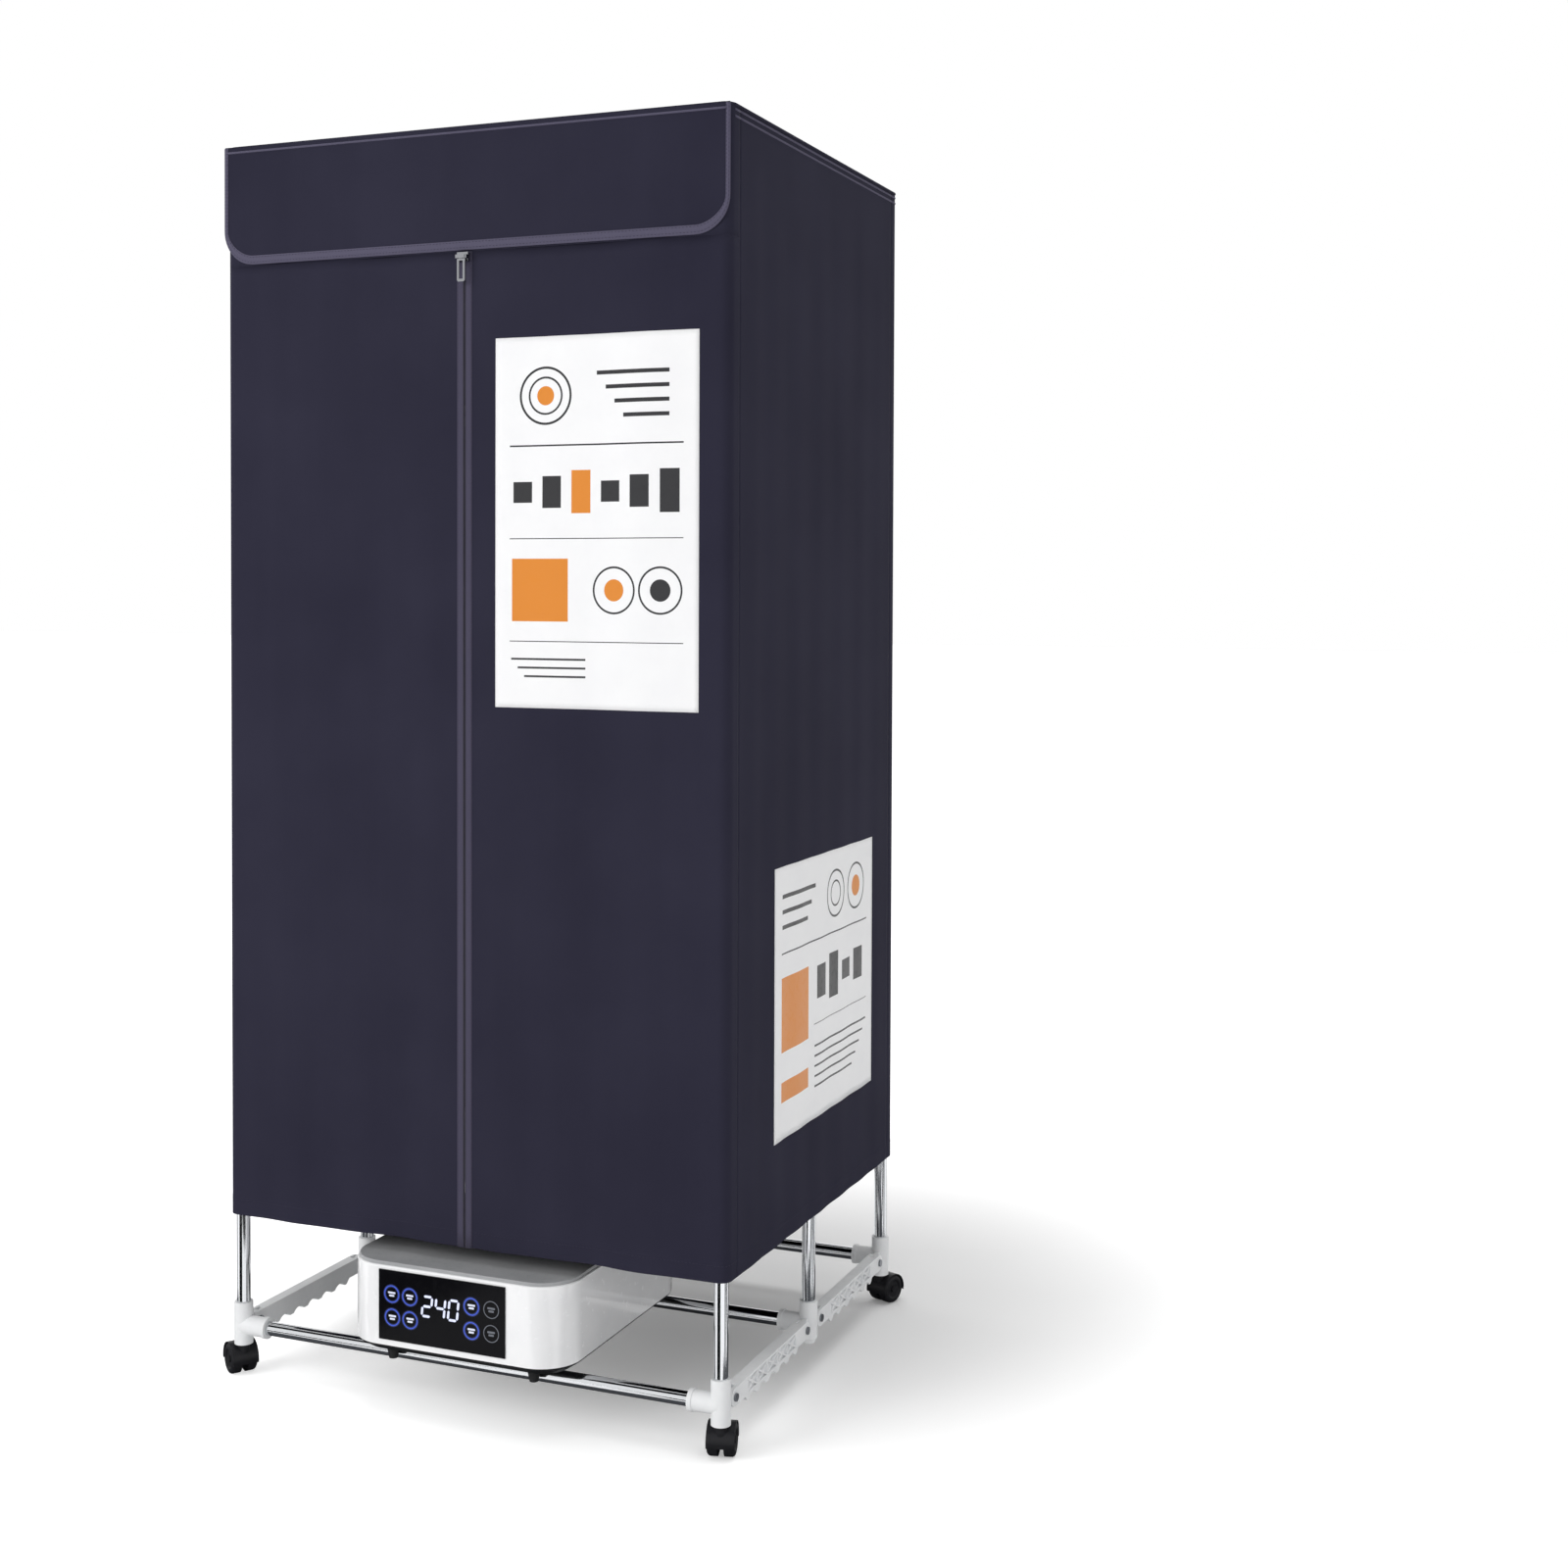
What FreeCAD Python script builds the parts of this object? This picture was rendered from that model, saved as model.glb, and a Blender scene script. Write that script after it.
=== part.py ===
import FreeCAD, Part
import os
import Sketcher

# Folding clothes drying cabinet: three tube frames joined by notched folding arms,
# a zipped fabric cover, four casters and a removable warm-air unit.
# Millimetres. +X right, +Y back, +Z up. The origin is on the floor, midway between
# the front and rear posts and midway between the left and right posts.

os.makedirs("parts", exist_ok=True)
doc = FreeCAD.newDocument("drying_cabinet")
Vector = FreeCAD.Vector
Rotation = FreeCAD.Rotation

# ---------------------------------------------------------------- driving sizes
SIZES = (
    # frames
    ("post_spacing", 620, "left to right, between post axes"),
    ("frame_pitch", 260, "front to middle and middle to rear, between post axes"),
    ("tube_radius", 8, "outside of every steel tube"),
    ("tube_wall", 1, "wall of every steel tube"),
    ("bottom_tube_z", 60, "axis of the bottom tubes and of the lower arm pivots"),
    ("hanging_rod_z", 1180, "axis of the hanging rod and of the upper arm pivots"),
    # moulded connectors
    ("connector_radius", 11, "outside of the upright sockets"),
    ("socket_length", 28, "upright socket, from the cross tube's axis to its mouth"),
    ("socket_heel", 22, "upright socket, from the cross tube's axis to its closed end"),
    ("heel_cone", 6, "cone at the closed end of the middle sockets"),
    ("heel_radius", 8, "narrow end of that cone"),
    ("tee_radius", 11.5, "outside of the cross sockets"),
    ("tee_reach", 36, "mouth of the cross socket, from the post's axis"),
    ("tee_seat", 12, "end of the cross tube, from the post's axis"),
    ("post_seat", 2, "end of the post, from the cross tube's axis"),
    ("elbow_seat", 10, "end of both tubes in a top elbow, from the other tube's axis"),
    ("bracket_half", 14, "half the height of an upper arm bracket"),
    ("lip", 1, "raised ring at the mouth of each cross socket"),
    ("lip_length", 5, "length of that ring"),
    ("fit_gap", 0.1, "between a tube, stem or shaft and its socket, on the radius"),
    # folding arms and their pivots
    ("ear_reach", 23, "arm pivot, from the post's axis"),
    ("ear_radius", 9, "rounded end of a connector's ear"),
    ("ear_thickness", 6, "ear between the two cheeks of an arm"),
    ("arm_edge", 10, "straight edge of an arm, from its pivot line"),
    ("arm_comb", 16, "tips of the notched edge, from the pivot line"),
    ("arm_thickness", 14, "across the arm, left to right"),
    ("fork_gap", 0.3, "between an ear and each cheek of an arm"),
    ("fork_depth", 11, "floor of the fork, from the pivot"),
    ("notch_start", 34, "first tooth, from the pivot"),
    ("notch_count", 5, "notches along an arm"),
    ("notch_radius", 14, "round floor of a notch"),
    ("notch_depth", 5, "depth of a notch"),
    ("lattice_depth", 3, "depth of the pockets between the crossed ribs"),
    ("lattice_rib", 2.4, "width of the crossed ribs"),
    ("lattice_rim", 2.5, "solid edge above and below the ribs"),
    ("lattice_web", 0.5, "extra width where the ribs cross"),
    ("pin_radius", 2.5, "shank of a pivot screw"),
    ("pin_gap", 0.15, "between a pivot screw and the arm, on the radius"),
    ("pin_side_gap", 0.2, "between an arm and a screw's head or nut"),
    ("pin_head_radius", 4.5, "head of a pivot screw"),
    ("pin_nut_radius", 4, "nut of a pivot screw"),
    ("pin_head", 2.2, "height of the head and of the nut"),
    # fabric cover
    ("cover_top_z", 1450, "top of the cover"),
    ("hem_z", 195, "lower edge of the cover"),
    ("cloth", 1, "thickness of the sewn fabric"),
    ("cover_gap", 0.3, "between the cover and what carries it, and between its parts"),
    ("cover_corner", 12, "outside corner radius of the cover"),
    ("corner_return", 25, "depth of the sewn corners along the sides"),
    ("panel_edge", 12, "hinge line of a front half, inward from the post's axis"),
    ("header_height", 138.7, "fixed band behind the flap, down from the top"),
    ("flap_height", 137, "flap, down from the top"),
    ("flap_corner", 40, "lower corner radius of the flap"),
    ("binding_side", 5, "width of the flap's binding at its sides"),
    ("binding_bottom", 10, "width of the flap's binding along its lower edge"),
    ("binding_thickness", 0.8, "binding proud of the flap"),
    # zip
    ("zip_gap", 0.5, "from the middle to each front half's free edge"),
    ("zip_tape_width", 9, "one zip tape"),
    ("zip_tape_thickness", 0.8, "zip tape proud of the fabric"),
    ("slider_width", 14, "zip slider, left to right"),
    ("slider_height", 10, "zip slider, up and down"),
    ("slider_thickness", 4, "zip slider, front to back"),
    ("slider_drop", 1, "top of the slider, below the front halves' upper edge"),
    ("puller_width", 10, "zip puller, left to right"),
    ("puller_length", 28, "zip puller, from its pivot to its tip"),
    ("puller_thickness", 1.4, "zip puller, front to back"),
    ("puller_slot", 4.6, "slot along the puller"),
    ("puller_bevel", 1.5, "cut corners at the puller's tip"),
    ("puller_end", 3, "solid ends of the puller, above and below its slot"),
    ("puller_pivot_radius", 1, "wire on which the puller turns"),
    # panels without lettering
    ("front_label_left", 40, "left edge of the front panel label"),
    ("front_label_width", 247, "width of the front panel label"),
    ("front_label_low", 805, "lower edge of the front panel label"),
    ("front_label_height", 408, "height of the front panel label"),
    ("side_label_front", -145, "front edge of the side label"),
    ("side_label_width", 328, "width of the side label"),
    ("side_label_low", 312, "lower edge of the side label"),
    ("side_label_height", 311, "height of the side label"),
    ("label_thickness", 0.4, "both labels"),
    # casters
    ("wheel_radius", 18, "twin wheels"),
    ("wheel_inner", 3.6, "inner face of a wheel, from the middle of the caster"),
    ("wheel_outer", 15.5, "outer face of a wheel, from the middle of the caster"),
    ("wheel_edge", 4, "rounded shoulder of the tread"),
    ("wheel_dish", 2, "depth of the dished outer face"),
    ("wheel_dish_radius", 12, "radius of the dished outer face"),
    ("wheel_hub_radius", 4.5, "hub in the dished face"),
    ("wheel_hub_draft", 0.5, "taper of the hub"),
    ("hood_gap", 0.4, "between the wheels and the hood"),
    ("hood_wall", 1.3, "wall of the hood over the wheels"),
    ("hood_skirt", 4, "lower edge of the hood, below the axle"),
    ("caster_trail", 11, "axle behind the swivel axis"),
    ("boss_radius", 7, "boss under the connector"),
    ("stem_radius", 4, "swivel stem"),
    ("stem_length", 18, "stem inside the connector"),
    ("axle_radius", 2, "wheel axle"),
    ("caster_gap", 0.3, "between the hood's boss and the connector"),
    # warm-air unit
    ("unit_width", 282, "housing, left to right"),
    ("unit_length", 305, "housing, forward of the middle frame's axis"),
    ("unit_overhang", 11, "housing, behind the middle frame's axis"),
    ("unit_height", 90, "housing without its top plate"),
    ("unit_corner", 45, "corner radius seen from above"),
    ("unit_wall", 2.5, "wall of the housing"),
    ("unit_edge", 2, "rounded upper edge of the housing"),
    ("plate_inset", 2.5, "white rim round the top plate"),
    ("plate_thickness", 4, "top plate"),
    ("base_height", 10, "tapered base under the housing"),
    ("base_inset", 1, "base behind the housing's outline"),
    ("base_taper", 12, "sloped rim under the base, inward"),
    ("base_slope", 8, "sloped rim under the base, upward"),
    ("foot_radius", 6, "foot pads"),
    ("foot_height", 5, "foot pads"),
    ("foot_spread", 75, "foot pads, from the middle"),
    ("foot_overhang", 7, "rear foot pads, short of the middle tube's back"),
    ("stop_drop", 15, "stops in front of the front bottom tube, below the base"),
    ("stop_radius", 5, "lower end of those stops"),
    ("stop_flare", 8, "upper end of those stops"),
    ("stop_gap", 0.5, "between the stops and the tube"),
    ("stop_spread", 91, "stops, from the middle"),
    ("rest_gap", 0.3, "between the foot pads and the tubes under them"),
    ("display_left", -91, "left edge of the display"),
    ("display_width", 162, "display"),
    ("display_height", 79, "display"),
    ("display_low", 7, "lower edge of the display above the housing's"),
    ("display_thickness", 1.5, "display, proud of the housing"),
    ("outlet_y", -120, "centre of the fan and of the outlet"),
    ("outlet_radius", 62, "opening in the top plate"),
    ("grille_bar", 3, "bar of the outlet grille"),
    ("grille_bars", 9, "straight bars of the outlet grille"),
    ("grille_pitch", 12, "between those bars"),
    ("grille_thickness", 3, "outlet grille"),
    ("duct_wall", 2, "round duct from the base to the outlet"),
    ("duct_ledge", 8, "ledge that carries the heater"),
    ("heater_height", 18, "heater block"),
    ("heater_fin", 2, "heater fin"),
    ("heater_fins", 9, "heater fins"),
    ("heater_pitch", 12, "between heater fins"),
    ("heater_drop", 8, "top of the heater below the top of the housing"),
    ("motor_radius", 24, "fan motor"),
    ("motor_height", 26, "fan motor"),
    ("shaft_radius", 3, "motor shaft"),
    ("shaft_length", 24, "motor shaft above the motor"),
    ("fan_radius", 55, "tips of the fan's blades"),
    ("fan_hub_radius", 16, "fan hub"),
    ("fan_height", 18, "fan hub"),
    ("fan_lift", 2, "fan hub above the motor"),
    ("fan_blades", 7, "blades of the fan"),
    ("blade_thickness", 2, "fan blade"),
    ("blade_pitch", 35, "angle of a blade to the level, in degrees"),
    ("inlet_x", 90, "mains inlet, from the middle"),
    ("inlet_width", 28, "mains inlet"),
    ("inlet_height", 20, "mains inlet"),
    ("inlet_depth", 18, "mains inlet"),
    ("inlet_low", 12, "mains inlet above the housing's lower edge"),
    ("inlet_wall", 3, "walls of the mains inlet"),
    ("inlet_floor", 5, "floor of the mains inlet"),
    ("contact_radius", 1.2, "contact pins of the mains inlet"),
    ("contact_drop", 3, "tips of the contact pins, inside the inlet's mouth"),
)

dims = doc.addObject("Spreadsheet::Sheet", "dims")
for row, (alias, size, note) in enumerate(SIZES, start=1):
    dims.set("A%d" % row, alias)
    dims.set("B%d" % row, str(size))
    dims.set("C%d" % row, note)
    dims.setAlias("B%d" % row, alias)
doc.recompute()

# ---------------------------------------------------------------- worked-out places
POST_X = "(dims.post_spacing / 2)"
FRONT_Y = "(0 - dims.frame_pitch)"
REAR_Y = "dims.frame_pitch"
TOP_TUBE_Z = "(dims.cover_top_z - dims.cloth - dims.cover_gap - dims.connector_radius)"
COVER_X = "(dims.post_spacing / 2 + dims.connector_radius + dims.cover_gap + dims.cloth)"
COVER_Y = "(dims.frame_pitch + dims.connector_radius + dims.cover_gap + dims.cloth)"
WALL_TOP_Z = "(dims.cover_top_z - dims.cloth)"
HEADER_LOW_Z = "(dims.cover_top_z - dims.header_height)"
PANEL_TOP_Z = "(dims.cover_top_z - dims.header_height - dims.cover_gap)"
PANEL_EDGE_X = "(dims.post_spacing / 2 - dims.panel_edge)"
ARM_LENGTH = "(dims.frame_pitch - 2 * dims.ear_reach)"
NOTCH_PITCH = "((%s - 2 * dims.notch_start) / dims.notch_count)" % ARM_LENGTH
CONNECTOR_BOTTOM_Z = "(dims.bottom_tube_z - dims.socket_heel)"
FOOT_Z = "(dims.bottom_tube_z + dims.tube_radius + dims.rest_gap)"
BASE_Z = "(%s + dims.foot_height)" % FOOT_Z
HOUSING_Z = "(%s + dims.base_height)" % BASE_Z
PLATE_Z = "(%s + dims.unit_height)" % HOUSING_Z
UNIT_FRONT_Y = "(0 - dims.unit_length)"
UNIT_BACK_Y = "dims.unit_overhang"
HEATER_Z = "(%s - dims.heater_drop - dims.heater_height)" % PLATE_Z
ALONG = {
    "x": Rotation(Vector(0, 1, 0), 90),
    "-x": Rotation(Vector(0, 1, 0), -90),
    "y": Rotation(Vector(1, 0, 0), -90),
    "z": Rotation(),
}
parts = {}


def number(expression):
    """Current value of an expression on the sheet."""
    return float(dims.evalExpression(expression))


def place(item, at, rotation=None):
    if rotation is not None:
        item.Placement = FreeCAD.Placement(Vector(), rotation)
    for axis, expression in zip("xyz", at):
        item.setExpression("Placement.Base." + axis, expression)
    return item


def box(name, low, size):
    """Block from its low corner; every figure is an expression."""
    item = doc.addObject("Part::Box", name)
    for side, expression in zip(("Length", "Width", "Height"), size):
        item.setExpression(side, expression)
    return place(item, low)


def rod(name, radius, length, at, axis="z"):
    """Solid cylinder that starts at a point and runs along an axis."""
    item = doc.addObject("Part::Cylinder", name)
    item.setExpression("Radius", radius)
    item.setExpression("Height", length)
    return place(item, at, ALONG[axis])


def union(name, pieces):
    item = doc.addObject("Part::MultiFuse", name)
    item.Shapes = pieces
    item.Refine = True
    return item


def difference(name, base, tools):
    item = doc.addObject("Part::Cut", name)
    item.Base = base
    item.Tool = tools[0] if len(tools) == 1 else union(name + "_cutters", tools)
    item.Refine = True
    return item


def overlap(name, base, tool):
    item = doc.addObject("Part::Common", name)
    item.Base = base
    item.Tool = tool
    item.Refine = True
    return item


def group(name, pieces):
    """Like pieces that share one node, each still a solid of its own."""
    item = doc.addObject("Part::Compound", name)
    item.Links = pieces
    return item


def keep(node, item):
    """Names the file that holds this piece."""
    item.Label = node
    parts[node] = item
    return item


# ---------------------------------------------------------------- sketch helpers
def new_body(name):
    return doc.addObject("PartDesign::Body", name)


def new_sketch(body, name, role, lift="0"):
    """Sketch on one of the body's own origin planes, lifted along its normal."""
    sketch = body.newObject("Sketcher::SketchObject", name)
    plane = next(item for item in body.Origin.OriginFeatures if item.Role == role)
    sketch.AttachmentSupport = [(plane, "")]
    sketch.MapMode = "FlatFace"
    sketch.setExpression("AttachmentOffset.Base.z", lift)
    return sketch


def bind_point(sketch, geometry, position, point):
    for kind, expression in zip(("DistanceX", "DistanceY"), point):
        constraint = Sketcher.Constraint(kind, -1, 1, geometry, position, number(expression))
        index = sketch.addConstraint(constraint)
        sketch.setExpression("Constraints[%d]" % index, expression)


def draw_polygon(sketch, points):
    """Closed outline through points given as pairs of expressions."""
    spots = [Vector(number(x), number(y), 0) for x, y in points]
    count = len(spots)
    first = sketch.GeometryCount
    for index in range(count):
        sketch.addGeometry(Part.LineSegment(spots[index], spots[(index + 1) % count]), False)
    for index in range(count):
        following = first + (index + 1) % count
        sketch.addConstraint(Sketcher.Constraint("Coincident", first + index, 2, following, 1))
    for index, point in enumerate(points):
        bind_point(sketch, first + index, 1, point)


def draw_rectangle(sketch, low, high):
    draw_polygon(sketch, ((low[0], low[1]), (high[0], low[1]), (high[0], high[1]), (low[0], high[1])))


def draw_circle(sketch, centre, radius):
    spot = Vector(number(centre[0]), number(centre[1]), 0)
    circle = Part.Circle(spot, Vector(0, 0, 1), number(radius))
    index = sketch.addGeometry(circle, False)
    bind_point(sketch, index, 3, centre)
    constraint = sketch.addConstraint(Sketcher.Constraint("Radius", index, number(radius)))
    sketch.setExpression("Constraints[%d]" % constraint, radius)


def add_feature(body, kind, sketch, length, both_ways=False, flipped=False):
    feature = body.newObject("PartDesign::" + kind, sketch.Name + "_" + kind.lower())
    feature.Profile = sketch
    feature.Midplane = both_ways
    feature.Reversed = flipped
    feature.setExpression("Length", length)
    return feature


def repeat(body, feature, role, length, count):
    """Row of copies of a feature along one of the body's own axes."""
    row = body.newObject("PartDesign::LinearPattern", feature.Name + "_row")
    axis = next(item for item in body.Origin.OriginFeatures if item.Role == role)
    row.Originals = [feature]
    row.Direction = (axis, [""])
    row.setExpression("Length", length)
    row.setExpression("Occurrences", count)
    body.Tip = row
    return row


def round_edges(body, kind, size, test):
    """Fillet or Chamfer on every edge of the body that passes the test."""
    doc.recompute()
    tip = body.Tip
    names = ["Edge%d" % (index + 1) for index, edge in enumerate(tip.Shape.Edges) if test(edge)]
    feature = body.newObject("PartDesign::" + kind, body.Name + "_" + kind.lower())
    feature.Base = (tip, names)
    feature.setExpression("Radius" if kind == "Fillet" else "Size", size)
    return feature


def is_upright(edge):
    return edge.BoundBox.ZLength > 1 and edge.BoundBox.XLength + edge.BoundBox.YLength < 0.01


def lies_at(height):
    def test(edge):
        return edge.BoundBox.ZLength < 0.01 and abs(edge.BoundBox.ZMin - height) < 0.01
    return test


def rounded_slab(name, low, high, bottom, height, corner):
    """Body with a rounded rectangle as its plan."""
    body = new_body(name)
    plan = new_sketch(body, name + "_plan", "XY_Plane", bottom)
    draw_rectangle(plan, low, high)
    add_feature(body, "Pad", plan, height)
    round_edges(body, "Fillet", corner, is_upright)
    return body


# ---------------------------------------------------------------- tubes
def tube(name, length, at, axis="z"):
    outside = rod(name + "_outside", "dims.tube_radius", length, at, axis)
    inside = rod(name + "_inside", "dims.tube_radius - dims.tube_wall", length, at, axis)
    return difference(name, outside, [inside])


def side_x(side):
    """Post axis on the left (-1) or right (+1)."""
    return "(%d * dims.post_spacing / 2)" % side


SIDES = (("left", -1), ("right", 1))


def make_frame_tubes(frame, y, post_top, cross_name, cross_z, cross_seat):
    """Two posts, the bottom tube and the upper cross tube of one frame."""
    foot = "(dims.bottom_tube_z + dims.post_seat)"
    posts = []
    for side_name, side in SIDES:
        name = "%s_post_%s" % (frame, side_name)
        posts.append(tube(name, "%s - %s" % (post_top, foot), (side_x(side), y, foot)))
    keep(frame + "_posts", group(frame + "_posts", posts))
    half = "(%s - dims.tee_seat)" % POST_X
    low = tube(frame + "_bottom", "2 * " + half, ("0 - " + half, y, "dims.bottom_tube_z"), "x")
    keep(frame + "_bottom_tube", low)
    half = "(%s - %s)" % (POST_X, cross_seat)
    high = tube(cross_name + "_cross", "2 * " + half, ("0 - " + half, y, cross_z), "x")
    keep(cross_name, high)


POST_TOP = "(%s - dims.elbow_seat)" % TOP_TUBE_Z
MIDDLE_POST_TOP = "(dims.hanging_rod_z - dims.post_seat)"
make_frame_tubes("front", FRONT_Y, POST_TOP, "front_top_tube", TOP_TUBE_Z, "dims.elbow_seat")
make_frame_tubes("middle", "0", MIDDLE_POST_TOP, "hanging_rod", "dims.hanging_rod_z", "dims.tee_seat")
make_frame_tubes("rear", REAR_Y, POST_TOP, "rear_top_tube", TOP_TUBE_Z, "dims.elbow_seat")


# ---------------------------------------------------------------- moulded connectors
def make_ear(name, x, y, z, toward):
    """Flat ear with a round end that carries an arm's pivot; toward is -1 front, +1 back."""
    low_y = y if toward > 0 else "%s - dims.ear_reach" % y
    low = ("%s - dims.ear_thickness / 2" % x, low_y, "%s - dims.ear_radius" % z)
    web = box(name + "_web", low, ("dims.ear_thickness", "dims.ear_reach", "2 * dims.ear_radius"))
    at = ("%s - dims.ear_thickness / 2" % x, "%s + %d * dims.ear_reach" % (y, toward), z)
    end = rod(name + "_end", "dims.ear_radius", "dims.ear_thickness", at, "x")
    hole = rod(name + "_hole", "dims.pin_radius + dims.fit_gap", "dims.ear_thickness", at, "x")
    return [web, end], hole


def make_tee(name, x, side, y, z, radius, seat):
    """Cross socket towards the middle of the frame, with a raised ring at its mouth."""
    axis = "-x" if side > 0 else "x"
    start = (x, y, z)
    body = rod(name + "_tee", radius, "dims.tee_reach", start, axis)
    ring_x = "%s - %d * (dims.tee_reach - dims.lip_length)" % (x, side)
    ring = rod(name + "_ring", radius + " + dims.lip", "dims.lip_length", (ring_x, y, z), axis)
    bore_x = "%s - %d * %s" % (x, side, seat)
    bore = rod(name + "_bore", "dims.tube_radius + dims.fit_gap", "dims.tee_reach", (bore_x, y, z), axis)
    return [body, ring], bore


def make_connector(name, side, y, z, ears, upward, stem):
    """Upright socket, cross socket and arm ears; upward is +1 at a foot, -1 at the rod."""
    x = side_x(side)
    low = "%s - dims.socket_heel" % z if upward > 0 else "%s - dims.socket_length" % z
    height = "dims.socket_heel + dims.socket_length"
    if stem or upward < 0:
        solids = [rod(name + "_upright", "dims.connector_radius", height, (x, y, low))]
    else:
        cone_top = low + " + dims.heel_cone"
        solids = [rod(name + "_upright", "dims.connector_radius", height + " - dims.heel_cone", (x, y, cone_top))]
        cone = doc.addObject("Part::Cone", name + "_heel")
        cone.setExpression("Radius1", "dims.heel_radius")
        cone.setExpression("Radius2", "dims.connector_radius")
        cone.setExpression("Height", "dims.heel_cone")
        solids.append(place(cone, (x, y, low)))
    bore_low = "%s + dims.post_seat" % z if upward > 0 else low
    bore_height = "dims.socket_length - dims.post_seat"
    cutters = [rod(name + "_post_bore", "dims.tube_radius + dims.fit_gap", bore_height, (x, y, bore_low))]
    tee_solids, tee_bore = make_tee(name, x, side, y, z, "dims.tee_radius", "dims.tee_seat")
    solids += tee_solids
    cutters.append(tee_bore)
    for toward in ears:
        ear_solids, hole = make_ear("%s_ear_%d" % (name, toward + 1), x, y, z, toward)
        solids += ear_solids
        cutters.append(hole)
    if stem:
        radius = "dims.stem_radius + dims.fit_gap"
        cutters.append(rod(name + "_stem_bore", radius, "dims.stem_length + dims.caster_gap", (x, y, low)))
    return difference(name, union(name + "_blank", solids), cutters)


def make_elbow(name, side, y):
    """Top corner: a post from below and the top tube from the side."""
    x = side_x(side)
    z = TOP_TUBE_Z
    low = "%s - dims.socket_length" % z
    upright = rod(name + "_upright", "dims.connector_radius", "dims.socket_length", (x, y, low))
    corner = doc.addObject("Part::Sphere", name + "_corner")
    corner.setExpression("Radius", "dims.connector_radius")
    place(corner, (x, y, z))
    axis = "-x" if side > 0 else "x"
    across = rod(name + "_across", "dims.connector_radius", "dims.tee_reach", (x, y, z), axis)
    bore_height = "dims.socket_length - dims.elbow_seat"
    post_bore = rod(name + "_post_bore", "dims.tube_radius + dims.fit_gap", bore_height, (x, y, low))
    bore_x = "%s - %d * dims.elbow_seat" % (x, side)
    tube_bore = rod(name + "_tube_bore", "dims.tube_radius + dims.fit_gap", "dims.tee_reach", (bore_x, y, z), axis)
    return difference(name, union(name + "_blank", [upright, corner, across]), [post_bore, tube_bore])


def make_bracket(name, side, y, toward):
    """Sleeve on a post with the ear of an upper arm."""
    x = side_x(side)
    z = "dims.hanging_rod_z"
    low = "%s - dims.bracket_half" % z
    sleeve = rod(name + "_sleeve", "dims.connector_radius", "2 * dims.bracket_half", (x, y, low))
    bore = rod(name + "_bore", "dims.tube_radius + dims.fit_gap", "2 * dims.bracket_half", (x, y, low))
    solids, hole = make_ear(name + "_ear", x, y, z, toward)
    return difference(name, union(name + "_blank", [sleeve] + solids), [bore, hole])


def make_pair(node, maker, *details):
    """Left and right copies of a fitting in one node."""
    copies = [maker("%s_%s" % (node, side_name), side, *details) for side_name, side in SIDES]
    return keep(node, group(node, copies))


make_pair("front_foot_connectors", make_connector, FRONT_Y, "dims.bottom_tube_z", (1,), 1, True)
make_pair("middle_foot_connectors", make_connector, "0", "dims.bottom_tube_z", (-1, 1), 1, False)
make_pair("rear_foot_connectors", make_connector, REAR_Y, "dims.bottom_tube_z", (-1,), 1, True)
make_pair("hanging_rod_connectors", make_connector, "0", "dims.hanging_rod_z", (-1, 1), -1, False)
make_pair("front_top_elbows", make_elbow, FRONT_Y)
make_pair("rear_top_elbows", make_elbow, REAR_Y)
make_pair("front_arm_brackets", make_bracket, FRONT_Y, 1)
make_pair("rear_arm_brackets", make_bracket, REAR_Y, -1)


def make_screw(name, side, y, z):
    """Pivot screw: shank through arm and ear, head outside, nut inside."""
    grip = "(dims.arm_thickness / 2 + dims.pin_side_gap)"
    outward = "x" if side > 0 else "-x"
    inward = "-x" if side > 0 else "x"
    shank_x = "%s - %d * (%s + dims.pin_head)" % (side_x(side), side, grip)
    length = "2 * (%s + dims.pin_head)" % grip
    shank = rod(name + "_shank", "dims.pin_radius", length, (shank_x, y, z), outward)
    head_x = "%s + %d * %s" % (side_x(side), side, grip)
    head = rod(name + "_head", "dims.pin_head_radius", "dims.pin_head", (head_x, y, z), outward)
    nut_x = "%s - %d * %s" % (side_x(side), side, grip)
    nut = rod(name + "_nut", "dims.pin_nut_radius", "dims.pin_head", (nut_x, y, z), inward)
    return union(name, [shank, head, nut])


def make_screws(node, pivots):
    screws = []
    for level, z in (("low", "dims.bottom_tube_z"), ("high", "dims.hanging_rod_z")):
        for side_name, side in SIDES:
            for index, y in enumerate(pivots):
                name = "%s_%s_%s_%d" % (node, level, side_name, index)
                screws.append(make_screw(name, side, y, z))
    keep(node, group(node, screws))


make_screws("front_pivot_screws", (FRONT_Y + " + dims.ear_reach",))
make_screws("middle_pivot_screws", ("0 - dims.ear_reach", "dims.ear_reach"))
make_screws("rear_pivot_screws", (REAR_Y + " - dims.ear_reach",))


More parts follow.
